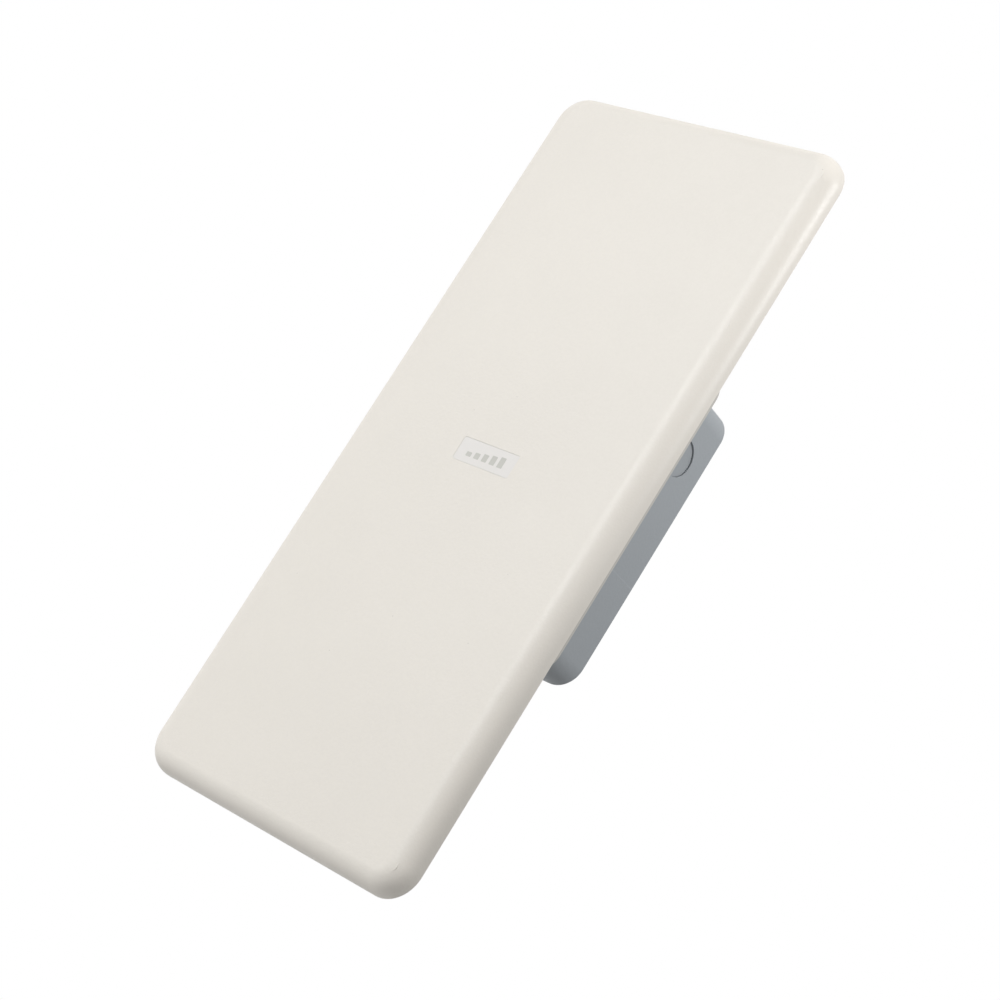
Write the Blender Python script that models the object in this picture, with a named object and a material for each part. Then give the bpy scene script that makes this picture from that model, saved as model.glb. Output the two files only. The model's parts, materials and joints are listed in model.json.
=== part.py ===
"""Outdoor wireless bridge: a long flat panel antenna with a square electronics housing behind it.

Frame: +Z runs up along the panel, the radome faces -Y, +X is to the right seen from the front.
The origin is the centre of the housing's rear mounting face, whose outward normal is +Y.
All lengths are in metres.
"""

import math

import bmesh
import bpy
from mathutils import Vector

# ---------------------------------------------------------------- clearances and shared sizes
GAP = 0.0003  # between faces that touch
FIT = 0.0004  # around a screw or cable in its hole, on the radius
ARC_STEPS = 6  # segments in a plan corner
SIDES = 12  # sides of a small round piece
SCREW_SIDES = 8
WELD = 0.000001  # points this close after a cut or a join are one point

# ---------------------------------------------------------------- radome
RADOME_LENGTH = 0.5000
RADOME_WIDTH = 0.2222
RADOME_DEPTH = 0.0145
RADOME_CORNER = 0.0209
RADOME_WALL = 0.0025
SIDE_FILLET = (0.0144, 0.0140)  # inset from the side, depth
END_FILLET = (0.0117, 0.0130)  # inset from the end, depth
LEDGE_INSET = 0.0085  # width of the rim and the seal ledge together
RADOME_BOSS_RADIUS = 0.0042
RADOME_BOSS_INSET = 0.0121  # boss centre from the side of the radome
RADOME_END_BOSS_INSET = 0.0182  # boss centre from the end of the radome
RADOME_MIDDLE_BOSS_MARGIN = 0.0240  # middle boss centre past the carrier frame's end
RADOME_SCREW_LENGTH = 0.0080
RADOME_BOSS_SPARE = 0.0020  # front of the boss's hole, past the screw's tip
RADOME_BOSS_ROOT = 0.0005  # how far a boss runs into the front wall
FILLET_STEPS = 7
INNER_FILLET_PARTS = (0.0, 0.34, 0.67, 1.0)

# ---------------------------------------------------------------- nameplate
NAMEPLATE_WIDTH = 0.0452
NAMEPLATE_HEIGHT = 0.0154
NAMEPLATE_THICKNESS = 0.0006
NAMEPLATE_CORNER = 0.0012

# ---------------------------------------------------------------- antenna
BACK_PLATE_THICKNESS = 0.0020
SEAL_THICKNESS = 0.0010
SEAL_INSET = 0.0033
SEAL_WIDTH = 0.0036
PASSAGE_HALF = (0.0220, 0.0120)
PASSAGE_Z = 0.0200
PASSAGE_CORNER = 0.0050
RIDGE_X = 0.0500
RIDGE_HALF_WIDTH = 0.0040
RIDGE_HEIGHT = 0.0015
RIDGE_ROUNDING = 0.95  # of the half width, so that a short flat stays between the corners
RIDGE_MARGINS = (0.0210, 0.0260)  # past the carrier frame's end, and short of the radome's
FEED_BOARD_MARGINS = (0.0211, 0.0320)  # inside the radome's sides and ends
FEED_BOARD_THICKNESS = 0.0016
FEED_BOARD_CORNER = 0.0030
PATCH_SIDE = 0.0500
PATCH_THICKNESS = 0.0008
PATCH_HEIGHT = 0.0042
PATCH_FOOT_RADIUS = 0.0040
PATCH_CORNER = 0.0060
PATCH_ARC_STEPS = 2
PATCH_PITCH_X = 0.1000
PATCH_PITCH_Z = 0.1050

# ---------------------------------------------------------------- carrier frame
FRAME_THICKNESS = 0.0047
FRAME_SIDE_INSET = 0.0020  # inside the radome's side
FRAME_END_MARGIN = 0.0070  # past the housing's end
FRAME_CORNER = 0.0150
FRAME_LAND = 0.0240  # from the housing's side in to the frame's opening
FRAME_OPENING_CORNER = 0.0100
FRAME_BEVEL = 0.0010

# ---------------------------------------------------------------- housing
HOUSING_SIDE = 0.1880
HOUSING_DEPTH = 0.0439
HOUSING_CORNER = 0.0154
HOUSING_WALL = 0.0040
HOUSING_EDGE = 0.0007
COVER_THICKNESS = 0.0020
GASKET_THICKNESS = 0.0006
GASKET_INSET = 0.0006
GASKET_WIDTH = 0.0030
FIN_DEPTH = 0.0065
FIN_FLOOR = 0.0030
FIN_PITCH = 0.0064
FIN_GROOVE = 0.0040
FIN_COUNT = 4
FIN_END_MARGIN = 0.0140  # from the housing's end to the groove's
PAD_MARGIN = 0.0320  # from the housing's side to the pad's
CORNER_BOSS_INSET = 0.0110  # boss centre from the housing's side and end
CORNER_BOSS_RADIUS = 0.0055
COVER_BOSS_X = 0.0400
COVER_BOSS_INSET = 0.0080  # boss centre from the housing's end
COVER_BOSS_RADIUS = 0.0045
MOUNT_HOLE_INSET = 0.0120  # hole centre from the pad's sides
MOUNT_HOLE_RADIUS = 0.0034
MOUNT_HOLE_DEPTH = 0.0120
MOUNT_BOSS_RADIUS = 0.0080
MOUNT_BOSS_DEPTH = 0.0145

# ---------------------------------------------------------------- radio board
BOARD_MARGIN = 0.0150  # from the housing's inner wall
BOARD_THICKNESS = 0.0016
BOARD_REAR = 0.0184  # from the mounting face to the board's rear side
BOARD_SCREW_INSET = 0.0070
BOARD_BOSS_RADIUS = 0.0035
THERMAL_BOSS_HALF = 0.0220
THERMAL_BOSS_Z = 0.0100
THERMAL_PAD_THICKNESS = 0.0010
PROCESSOR_SHIELD_HALF = 0.0210
PROCESSOR_SHIELD_HEIGHT = 0.0025
RADIO_SHIELD = (0.0560, 0.0035, 0.0460)
RADIO_SHIELD_ABOVE_JACK = 0.0140
JACK = (0.0160, 0.0135, 0.0210)
JACK_PORT = (0.0118, 0.0076, 0.0130)
JACK_INSET = 0.0050  # port from the board's lower edge
CONNECTOR = (0.0060, 0.0050, 0.0080)
CONNECTOR_X = 0.0140
CONNECTOR_Z = 0.0503
PIGTAIL_RADIUS = 0.0009
PIGTAIL_DROP = 0.0027  # pigtail's axis in front of the board
PIGTAIL_STRAIGHT = 0.0074  # its straight stretch starts this far behind the housing cover's front
PIGTAIL_HANDLES = (0.6, 0.3)  # how far its bend's two handles reach, as shares of its drop and its run
PIGTAIL_STEPS = 9
STRAIGHT_STEPS = 3
GROMMET_NECK = 0.0032
GROMMET_FLANGE = 0.0048
GROMMET_LIP = 0.0012

# ------------------------------------------------ screws: head radius, head height, shank radius
SMALL_SCREW = (0.0028, 0.0022, 0.0014)
LONG_SCREW = (0.0037, 0.0026, 0.0020)
COVER_SCREW_LENGTH = 0.0090
BOARD_SCREW_LENGTH = 0.0078
LONG_SCREW_GRIP = 0.0130  # length inside the housing's corner boss
SCREW_SPARE = 0.0015  # free depth past a screw's tip
HEAD_CLEARANCE = 0.0012
HEAD_CROWN = 0.8  # radius of a head's flat top as a share of its rim

# ---------------------------------------------------------------- side plug
PLUG_INSET = 0.0410  # axis from the housing's upper end
PLUG_LAND = 0.0013  # between the collar and the housing's front rim
PLUG_RADIUS = 0.0117
PLUG_SINK = 0.0010
PLUG_HEAD = 0.0018
PLUG_SHANK_RADIUS = 0.0086
PLUG_SHANK_LENGTH = 0.0057
PLUG_COLLAR_WALL = 0.0012
PLUG_COLLAR_DEPTH = 0.0100
PLUG_SIDES = 28
RING_SECTION = 0.0014
RING_DEPTH = 0.0042  # from the head's underside to the far side of the ring
RING_PROUD = 0.0001  # ring outside the shank

# ---------------------------------------------------------------- reset switch
SWITCH_LENGTH = 0.0065
SWITCH_WIDTH = 0.0070
SWITCH_WALL = 0.0010  # in front of the button
SWITCH_INSET = 0.0025  # from the board's edge
BUTTON_RADIUS = 0.0017
BUTTON_REACH = 0.0065
BUTTON_INSIDE = 0.0025
BUTTON_TRAVEL = 0.0007

# ---------------------------------------------------------------- fittings in the bottom wall
FITTING_Y = -0.0230
GLAND_THREAD = 0.0079
GLAND_BORE = 0.0050
GLAND_HEX = 0.0100  # half across the flats
GLAND_FLANGE = 0.0050
GLAND_INNER_LENGTH = 0.0075
GLAND_OUTER_LENGTH = 0.0090
GLAND_CUP = 0.0066
GLAND_CUP_DEPTH = 0.0065
SEAL_BORE = 0.0047
NUT_LENGTH = 0.0150
LOCKNUT_RADIUS = 0.0105
LOCKNUT_LENGTH = 0.0040
GLAND_SIDES = 24
SIDE_FITTING_OFFSET = 0.0015  # inwards from midway between the cover boss and the corner boss
VENT_HEAD = (0.0080, 0.0045)
VENT_SHANK = (0.0057, 0.0110)
GROUND_HEAD = (0.0046, 0.0036)
GROUND_SHANK = (0.0023, 0.0130)
GROUND_BOSS_RADIUS = 0.0055
GROUND_BOSS_LENGTH = 0.0120
LENS_X = 0.0250
LENS_HEAD = (0.0032, 0.0008)
LENS_SHANK = (0.0022, 0.0160)
PIN_CROWN = (0.8, 0.25)  # a head's flat bottom as a share of its radius, and its rounding of its height

# ---------------------------------------------------------------- places that follow
HOUSING_HALF = HOUSING_SIDE / 2
RADOME_HALF = (RADOME_WIDTH / 2, RADOME_LENGTH / 2)
FRAME_HALF = (RADOME_HALF[0] - FRAME_SIDE_INSET, HOUSING_HALF + FRAME_END_MARGIN)
FRAME_OPENING = HOUSING_HALF - FRAME_LAND
RIDGE_ENDS = (FRAME_HALF[1] + RIDGE_MARGINS[0], RADOME_HALF[1] - RIDGE_MARGINS[1])
FEED_BOARD_HALF = (RADOME_HALF[0] - FEED_BOARD_MARGINS[0], RADOME_HALF[1] - FEED_BOARD_MARGINS[1])
CORNER_BOSS_AT = HOUSING_HALF - CORNER_BOSS_INSET
COVER_BOSS_Z = HOUSING_HALF - COVER_BOSS_INSET
PAD_HALF = HOUSING_HALF - PAD_MARGIN
FIN_HALF_LENGTH = HOUSING_HALF - FIN_END_MARGIN
MOUNT_HOLE_AT = PAD_HALF - MOUNT_HOLE_INSET
BOARD_HALF = HOUSING_HALF - HOUSING_WALL - BOARD_MARGIN
BOARD_SCREW_AT = BOARD_HALF - BOARD_SCREW_INSET
JACK_FRONT_Z = JACK_INSET - BOARD_HALF
RADIO_SHIELD_Z = JACK_FRONT_Z + JACK[2] + RADIO_SHIELD_ABOVE_JACK + RADIO_SHIELD[2] / 2
SWITCH_X = BOARD_HALF - SWITCH_INSET
SIDE_FITTING_X = (COVER_BOSS_X + CORNER_BOSS_AT) / 2 - SIDE_FITTING_OFFSET
VENT_X, GROUND_X = -SIDE_FITTING_X, SIDE_FITTING_X
COVER_FRONT_Y = -HOUSING_DEPTH
COVER_REAR_Y = COVER_FRONT_Y + COVER_THICKNESS
GASKET_FRONT_Y = COVER_REAR_Y + GAP
GASKET_REAR_Y = GASKET_FRONT_Y + GASKET_THICKNESS
SHELL_FRONT_Y = GASKET_REAR_Y + GAP
FRAME_REAR_Y = COVER_FRONT_Y - GAP
FRAME_FRONT_Y = FRAME_REAR_Y - FRAME_THICKNESS
RIM_Y = FRAME_FRONT_Y - GAP
FRONT_Y = RIM_Y - RADOME_DEPTH
PLATE_FRONT_Y = RIM_Y - BACK_PLATE_THICKNESS
SEAL_REAR_Y = PLATE_FRONT_Y - GAP
LEDGE_Y = SEAL_REAR_Y - SEAL_THICKNESS - GAP
FEED_REAR_Y = PLATE_FRONT_Y - GAP
FEED_FRONT_Y = FEED_REAR_Y - FEED_BOARD_THICKNESS
WALL_FRONT_Y = -(FIN_DEPTH + FIN_FLOOR)
BOARD_REAR_Y = -BOARD_REAR
BOARD_FRONT_Y = BOARD_REAR_Y - BOARD_THICKNESS
PARTS_Y = BOARD_FRONT_Y - GAP
BOTTOM_Z = -HOUSING_HALF
PLUG_COLLAR_RADIUS = PLUG_RADIUS + GAP + PLUG_COLLAR_WALL
PLUG_Y = SHELL_FRONT_Y + PLUG_LAND + PLUG_COLLAR_RADIUS
PLUG_Z = HOUSING_HALF - PLUG_INSET
SWITCH_HEIGHT = PARTS_Y - PLUG_Y + BUTTON_RADIUS + GAP + SWITCH_WALL
PIGTAIL_STRAIGHT_Y = COVER_FRONT_Y + PIGTAIL_STRAIGHT

# colour, roughness, metallic
FINISHES = {
    "radome_plastic": ((0.78, 0.76, 0.70), 0.45, 0.0),
    "nameplate_film": ((0.76, 0.75, 0.71), 0.35, 0.0),
    "frame_plastic": ((0.45, 0.42, 0.38), 0.55, 0.0),
    "housing_coat": ((0.30, 0.32, 0.34), 0.50, 0.0),
    "plug_plastic": ((0.29, 0.31, 0.33), 0.55, 0.0),
    "back_plate_coat": ((0.62, 0.60, 0.55), 0.45, 0.2),
    "cover_metal": ((0.60, 0.61, 0.62), 0.40, 0.9),
    "screw_steel": ((0.62, 0.62, 0.60), 0.30, 1.0),
    "seal_rubber": ((0.04, 0.04, 0.04), 0.70, 0.0),
    "board_laminate": ((0.04, 0.16, 0.08), 0.45, 0.0),
    "patch_metal": ((0.75, 0.73, 0.68), 0.30, 1.0),
    "shield_metal": ((0.66, 0.66, 0.64), 0.30, 1.0),
    "pad_silicone": ((0.35, 0.45, 0.60), 0.80, 0.0),
    "connector_brass": ((0.70, 0.55, 0.28), 0.30, 1.0),
    "cable_jacket": ((0.25, 0.10, 0.05), 0.40, 0.0),
    "black_plastic": ((0.03, 0.03, 0.03), 0.50, 0.0),
    "gland_nylon": ((0.05, 0.05, 0.05), 0.55, 0.0),
    "lens_plastic": ((0.70, 0.80, 0.75), 0.15, 0.0),
    "button_plastic": ((0.60, 0.08, 0.06), 0.40, 0.0),
}


# ---------------------------------------------------------------- tools
def clear_scene():
    for obj in list(bpy.data.objects):
        bpy.data.objects.remove(obj, do_unlink=True)


def finish(name):
    """The material of this name, made on first use."""
    found = bpy.data.materials.get(name)
    if found:
        return found
    colour, roughness, metallic = FINISHES[name]
    made = bpy.data.materials.new(name)
    made.use_nodes = True
    shader = made.node_tree.nodes["Principled BSDF"]
    shader.inputs["Base Color"].default_value = (*colour, 1.0)
    shader.inputs["Roughness"].default_value = roughness
    shader.inputs["Metallic"].default_value = metallic
    made.diffuse_color = (*colour, 1.0)
    return made


def make_object(name, mesh_data, material_name):
    """A new object from a bmesh, with its faces pointing out."""
    bmesh.ops.recalc_face_normals(mesh_data, faces=mesh_data.faces[:])
    mesh = bpy.data.meshes.new(name)
    mesh_data.to_mesh(mesh)
    mesh_data.free()
    obj = bpy.data.objects.new(name, mesh)
    bpy.context.scene.collection.objects.link(obj)
    mesh.materials.append(finish(material_name))
    return obj


def smooth(obj, angle=math.radians(35)):
    obj.data.shade_smooth()
    obj.data.set_sharp_from_angle(angle=angle)
    return obj


def combine(obj, shapes, operation):
    """Cuts the bmesh shapes from obj (DIFFERENCE) or joins them to it (UNION)."""
    tool = make_object(obj.name + "_tool", shapes, obj.data.materials[0].name)
    modifier = obj.modifiers.new("combine", "BOOLEAN")
    modifier.operation = operation
    modifier.solver = "EXACT"
    modifier.object = tool
    bpy.context.view_layer.update()
    evaluated = obj.evaluated_get(bpy.context.evaluated_depsgraph_get())
    result = bpy.data.meshes.new_from_object(evaluated)
    welded = bmesh.new()
    welded.from_mesh(result)
    bmesh.ops.remove_doubles(welded, verts=welded.verts[:], dist=WELD)
    bmesh.ops.dissolve_degenerate(welded, edges=welded.edges[:], dist=WELD)
    welded.to_mesh(result)
    welded.free()
    obj.modifiers.clear()
    before = obj.data
    obj.data = result
    bpy.data.meshes.remove(before)
    bpy.data.objects.remove(tool, do_unlink=True)
    return obj


def skin(mesh_data, loops, closed=False):
    """Quads between each loop and the next; the ends are capped, or joined to each other if closed."""
    rows = [[mesh_data.verts.new(point) for point in loop] for loop in loops]
    pairs = list(zip(rows, rows[1:]))
    if closed:
        pairs.append((rows[-1], rows[0]))
    for first, second in pairs:
        count = len(first)
        for i in range(count):
            j = (i + 1) % count
            mesh_data.faces.new((first[i], first[j], second[j], second[i]))
    if not closed:
        mesh_data.faces.new(rows[0])
        mesh_data.faces.new(list(reversed(rows[-1])))
    return mesh_data


def rounded_loop(half_x, half_z, radius, y, centre=(0.0, 0.0), arc_steps=ARC_STEPS):
    """A rounded rectangle in the plane y, as a list of points."""
    points = []
    for quarter, (sign_x, sign_z) in enumerate(((1, 1), (-1, 1), (-1, -1), (1, -1))):
        for step in range(arc_steps + 1):
            angle = math.pi / 2 * (quarter + step / arc_steps)
            x = centre[0] + sign_x * (half_x - radius) + radius * math.cos(angle)
            z = centre[1] + sign_z * (half_z - radius) + radius * math.sin(angle)
            points.append(Vector((x, y, z)))
    return points


def plate(name, material_name, half, radius, front_y, rear_y, bevel=0.0):
    """A rounded plate between two planes, with its rear edge bevelled."""
    loops = [rounded_loop(*half, radius, front_y)]
    if bevel:
        loops.append(rounded_loop(*half, radius, rear_y - bevel))
    inner = (half[0] - bevel, half[1] - bevel)
    loops.append(rounded_loop(*inner, radius - bevel, rear_y))
    return make_object(name, skin(bmesh.new(), loops), material_name)


def ring(name, material_name, half, radius, width, front_y, rear_y):
    """A rectangular-section band that follows a rounded rectangle, width inwards."""
    inner = (half[0] - width, half[1] - width)
    loops = [
        rounded_loop(*half, radius, front_y),
        rounded_loop(*half, radius, rear_y),
        rounded_loop(*inner, radius - width, rear_y),
        rounded_loop(*inner, radius - width, front_y),
    ]
    return make_object(name, skin(bmesh.new(), loops, closed=True), material_name)


def add_box(mesh_data, low, high):
    xs, ys, zs = zip(low, high)
    verts = [mesh_data.verts.new((x, y, z)) for x in xs for y in ys for z in zs]
    for face in ((0, 1, 3, 2), (4, 6, 7, 5), (0, 4, 5, 1), (2, 3, 7, 6), (0, 2, 6, 4), (1, 5, 7, 3)):
        mesh_data.faces.new([verts[i] for i in face])
    return mesh_data


def block(name, material_name, centre, size):
    low = [c - s / 2 for c, s in zip(centre, size)]
    high = [c + s / 2 for c, s in zip(centre, size)]
    return make_object(name, add_box(bmesh.new(), low, high), material_name)


AXES = {
    "x": (Vector((0, 1, 0)), Vector((0, 0, 1)), Vector((1, 0, 0))),
    "y": (Vector((0, 0, 1)), Vector((1, 0, 0)), Vector((0, 1, 0))),
    "z": (Vector((1, 0, 0)), Vector((0, 1, 0)), Vector((0, 0, 1))),
}


def hexagon(angle, flats):
    """Distance from the axis to a hexagon's side at this angle."""
    within = math.fmod(angle, math.pi / 3) - math.pi / 6
    return flats / math.cos(within)


def add_turned(mesh_data, profile, base, axis, sides=SIDES):
    """Turns a profile of (radius, height) or (half flats, height, "hex") about an axis through base.

    A profile that starts and ends on the axis gives a solid piece, any other is closed into a bored one.
    """
    across, up, along = AXES[axis]
    rows = []
    for point in profile:
        height = along * point[1]
        if point[0] == 0:
            rows.append([mesh_data.verts.new(Vector(base) + height)])
            continue
        row = []
        for i in range(sides):
            angle = 2 * math.pi * i / sides
            radius = hexagon(angle, point[0]) if len(point) == 3 else point[0]
            place = Vector(base) + height + across * radius * math.cos(angle) + up * radius * math.sin(angle)
            row.append(mesh_data.verts.new(place))
        rows.append(row)
    pairs = list(zip(rows, rows[1:]))
    if len(rows[0]) > 1:
        pairs.append((rows[-1], rows[0]))
    for first, second in pairs:
        for i in range(sides):
            j = (i + 1) % sides
            if len(first) == 1:
                mesh_data.faces.new((first[0], second[j], second[i]))
            elif len(second) == 1:
                mesh_data.faces.new((first[i], first[j], second[0]))
            else:
                mesh_data.faces.new((first[i], first[j], second[j], second[i]))
    return mesh_data


def rod_profile(radius, low, high):
    return [(0, low), (radius, low), (radius, high), (0, high)]


def add_rod(mesh_data, radius, base, axis, low, high, sides=SIDES):
    """A cylinder about an axis, from low to high along it."""
    return add_turned(mesh_data, rod_profile(radius, low, high), base, axis, sides)


def turned(name, material_name, profile, base, axis, sides=SIDES):
    return smooth(make_object(name, add_turned(bmesh.new(), profile, base, axis, sides), material_name))


def screw(name, size, length, x, seat_y, z, towards):
    """A pan-head screw along Y whose head seats on seat_y; towards is the shank's direction along Y."""
    head_radius, head_height, shank_radius = size
    profile = [
        (0, -towards * head_height),
        (head_radius * HEAD_CROWN, -towards * head_height),
        (head_radius, 0),
        (shank_radius, 0),
        (shank_radius, towards * length),
        (0, towards * length),
    ]
    return turned(name, "screw_steel", profile, (x, seat_y, z), "y", SCREW_SIDES)


def four(at_x, at_z=None):
    """The four places (+-x, +-z)."""
    at_z = at_x if at_z is None else at_z
    return [(sign_x * at_x, sign_z * at_z) for sign_x in (1, -1) for sign_z in (1, -1)]


def holes(places, radius, low, high, sides=SIDES):
    """Cutters along Y at these (x, z) places."""
    shapes = bmesh.new()
    for x, z in places:
        add_rod(shapes, radius, (x, 0, z), "y", low, high, sides)
    return shapes


def corner_bosses():
    return four(CORNER_BOSS_AT)


def cover_bosses():
    return four(COVER_BOSS_X, COVER_BOSS_Z)


def radome_bosses():
    side = RADOME_HALF[0] - RADOME_BOSS_INSET
    end = RADOME_HALF[1] - RADOME_END_BOSS_INSET
    return four(side, end) + four(side, FRAME_HALF[1] + RADOME_MIDDLE_BOSS_MARGIN)


# ---------------------------------------------------------------- antenna
def radome_loop(inset_and_depth):
    """One loop round the radome; inset_and_depth(share) gives both, share 0 on a side, 1 on an end."""
    centre_x = RADOME_HALF[0] - RADOME_CORNER
    centre_z = RADOME_HALF[1] - RADOME_CORNER
    points = []
    for quarter, (sign_x, sign_z) in enumerate(((1, 1), (-1, 1), (-1, -1), (1, -1))):
        for step in range(ARC_STEPS + 1):
            angle = math.pi / 2 * (quarter + step / ARC_STEPS)
            inset, depth = inset_and_depth(math.sin(angle) ** 2)
            radius = RADOME_CORNER - inset
            x = sign_x * centre_x + radius * math.cos(angle)
            z = sign_z * centre_z + radius * math.sin(angle)
            points.append(Vector((x, RIM_Y - depth, z)))
    return points


def outer_fillet(turn):
    """The radome's outer surface at this turn of its fillet, 0 at the rim side, pi/2 at the face."""

    def at(share):
        inset = SIDE_FILLET[0] * (1 - share) + END_FILLET[0] * share
        deep = SIDE_FILLET[1] * (1 - share) + END_FILLET[1] * share
        return inset * (1 - math.cos(turn)), RADOME_DEPTH - deep + deep * math.sin(turn)

    return at


def inner_fillet(part):
    """The inner surface, one wall inside the outer one; part runs from 0 at the ledge to 1 at the face."""

    def at(share):
        inset = SIDE_FILLET[0] * (1 - share) + END_FILLET[0] * share
        deep = SIDE_FILLET[1] * (1 - share) + END_FILLET[1] * share
        reach = inset - RADOME_WALL
        start = math.acos(1 - (LEDGE_INSET - RADOME_WALL) / reach)
        turn = start + (math.pi / 2 - start) * part
        depth = RADOME_DEPTH - deep + (deep - RADOME_WALL) * math.sin(turn)
        return RADOME_WALL + reach * (1 - math.cos(turn)), depth

    return at


def radome():
    """Moulded cover: a shallow tray, open at the back, with a seal ledge and screw bosses inside."""
    turns = [math.pi / 2 * step / FILLET_STEPS for step in range(FILLET_STEPS, -1, -1)]
    ledge_depth = RIM_Y - LEDGE_Y
    loops = [radome_loop(outer_fillet(turn)) for turn in turns]
    loops.append(radome_loop(lambda share: (0.0, 0.0)))
    loops.append(radome_loop(lambda share: (RADOME_WALL, 0.0)))
    loops.append(radome_loop(lambda share: (RADOME_WALL, ledge_depth)))
    loops.append(radome_loop(lambda share: (LEDGE_INSET, ledge_depth)))
    loops += [radome_loop(inner_fillet(part)) for part in INNER_FILLET_PARTS]
    shell = skin(bmesh.new(), loops)
    bmesh.ops.triangulate(shell, faces=shell.faces[:])  # the quads round the corners aren't flat
    body = make_object("radome", shell, "radome_plastic")
    boss_front = FRONT_Y + RADOME_WALL - RADOME_BOSS_ROOT
    combine(body, holes(radome_bosses(), RADOME_BOSS_RADIUS, boss_front, SEAL_REAR_Y), "UNION")
    hole_end = RIM_Y + GAP - RADOME_SCREW_LENGTH - RADOME_BOSS_SPARE
    pilot = SMALL_SCREW[2] + FIT
    combine(body, holes(radome_bosses(), pilot, hole_end, RIM_Y), "DIFFERENCE")
    floor_y = FRONT_Y + NAMEPLATE_THICKNESS + GAP
    half = (NAMEPLATE_WIDTH / 2 + GAP, NAMEPLATE_HEIGHT / 2 + GAP)
    pocket = [rounded_loop(*half, NAMEPLATE_CORNER + GAP, y) for y in (FRONT_Y - RADOME_WALL, floor_y)]
    combine(body, skin(bmesh.new(), pocket), "DIFFERENCE")
    return smooth(body)


def nameplate():
    half = (NAMEPLATE_WIDTH / 2, NAMEPLATE_HEIGHT / 2)
    rear_y = FRONT_Y + NAMEPLATE_THICKNESS
    return plate("nameplate", "nameplate_film", half, NAMEPLATE_CORNER, FRONT_Y, rear_y)


def radome_seal():
    half = (RADOME_HALF[0] - SEAL_INSET, RADOME_HALF[1] - SEAL_INSET)
    front_y = SEAL_REAR_Y - SEAL_THICKNESS
    corner = RADOME_CORNER - SEAL_INSET
    return ring("radome_seal", "seal_rubber", half, corner, SEAL_WIDTH, front_y, SEAL_REAR_Y)


def passage(low, high):
    """Cutter for the cable passage through the back plate."""
    loops = [rounded_loop(*PASSAGE_HALF, PASSAGE_CORNER, y, (0.0, PASSAGE_Z)) for y in (low, high)]
    return skin(bmesh.new(), loops)


def ridge_places():
    middle = (RIDGE_ENDS[0] + RIDGE_ENDS[1]) / 2
    return four(RIDGE_X, middle)


def back_plate():
    """Aluminium reflector that closes the radome from behind, with four pressed stiffening ridges."""
    inset = RADOME_WALL + GAP
    half = (RADOME_HALF[0] - inset, RADOME_HALF[1] - inset)
    body = plate("back_plate", "back_plate_coat", half, RADOME_CORNER - inset, PLATE_FRONT_Y, RIM_Y)
    ridges = bmesh.new()
    half_length = (RIDGE_ENDS[1] - RIDGE_ENDS[0]) / 2
    for centre in ridge_places():
        corner = RIDGE_HALF_WIDTH * RIDGE_ROUNDING
        foot = rounded_loop(RIDGE_HALF_WIDTH, half_length, corner, RIM_Y - GAP, centre)
        crown_half = RIDGE_HALF_WIDTH - RIDGE_HEIGHT
        crown_y = RIM_Y + RIDGE_HEIGHT
        corner = crown_half * RIDGE_ROUNDING
        crown = rounded_loop(crown_half, half_length - RIDGE_HEIGHT, corner, crown_y, centre)
        skin(ridges, [foot, crown])
    combine(body, ridges, "UNION")
    below, above = PLATE_FRONT_Y - GAP, RIM_Y + GAP
    combine(body, holes(radome_bosses(), SMALL_SCREW[2] + FIT, below, above), "DIFFERENCE")
    combine(body, holes(corner_bosses(), LONG_SCREW[2] + FIT, below, above), "DIFFERENCE")
    combine(body, passage(below, above), "DIFFERENCE")
    return smooth(body)


def feed_board():
    faces = (FEED_FRONT_Y, FEED_REAR_Y)
    body = plate("feed_board", "board_laminate", FEED_BOARD_HALF, FEED_BOARD_CORNER, *faces)
    radius = LONG_SCREW[0] + HEAD_CLEARANCE
    return combine(body, holes(corner_bosses(), radius, FEED_FRONT_Y - GAP, FEED_REAR_Y + GAP), "DIFFERENCE")


def patch(name, x, z):
    """Stamped square radiator held above the feed board by the foot at its centre."""
    foot_y = FEED_FRONT_Y - GAP
    sheet_y = foot_y - PATCH_HEIGHT
    half = PATCH_SIDE / 2
    faces = (sheet_y - PATCH_THICKNESS, sheet_y)
    loops = [rounded_loop(half, half, PATCH_CORNER, y, (x, z), PATCH_ARC_STEPS) for y in faces]
    body = make_object(name, skin(bmesh.new(), loops), "patch_metal")
    foot = add_rod(bmesh.new(), PATCH_FOOT_RADIUS, (x, 0, z), "y", sheet_y - PATCH_THICKNESS / 2, foot_y)
    return combine(body, foot, "UNION")


def antenna():
    radome()
    nameplate()
    radome_seal()
    back_plate()
    for number, (x, z) in enumerate(radome_bosses(), 1):
        screw(f"radome_screw_{number}", SMALL_SCREW, RADOME_SCREW_LENGTH, x, RIM_Y + GAP, z, -1)
    feed_board()
    columns = [(column - 0.5) * PATCH_PITCH_X for column in range(2)]
    rows = [(row - 1.5) * PATCH_PITCH_Z for row in range(4)]
    for number, (x, z) in enumerate([(x, z) for z in rows for x in columns], 1):
        patch(f"patch_{number}", x, z)


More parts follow.
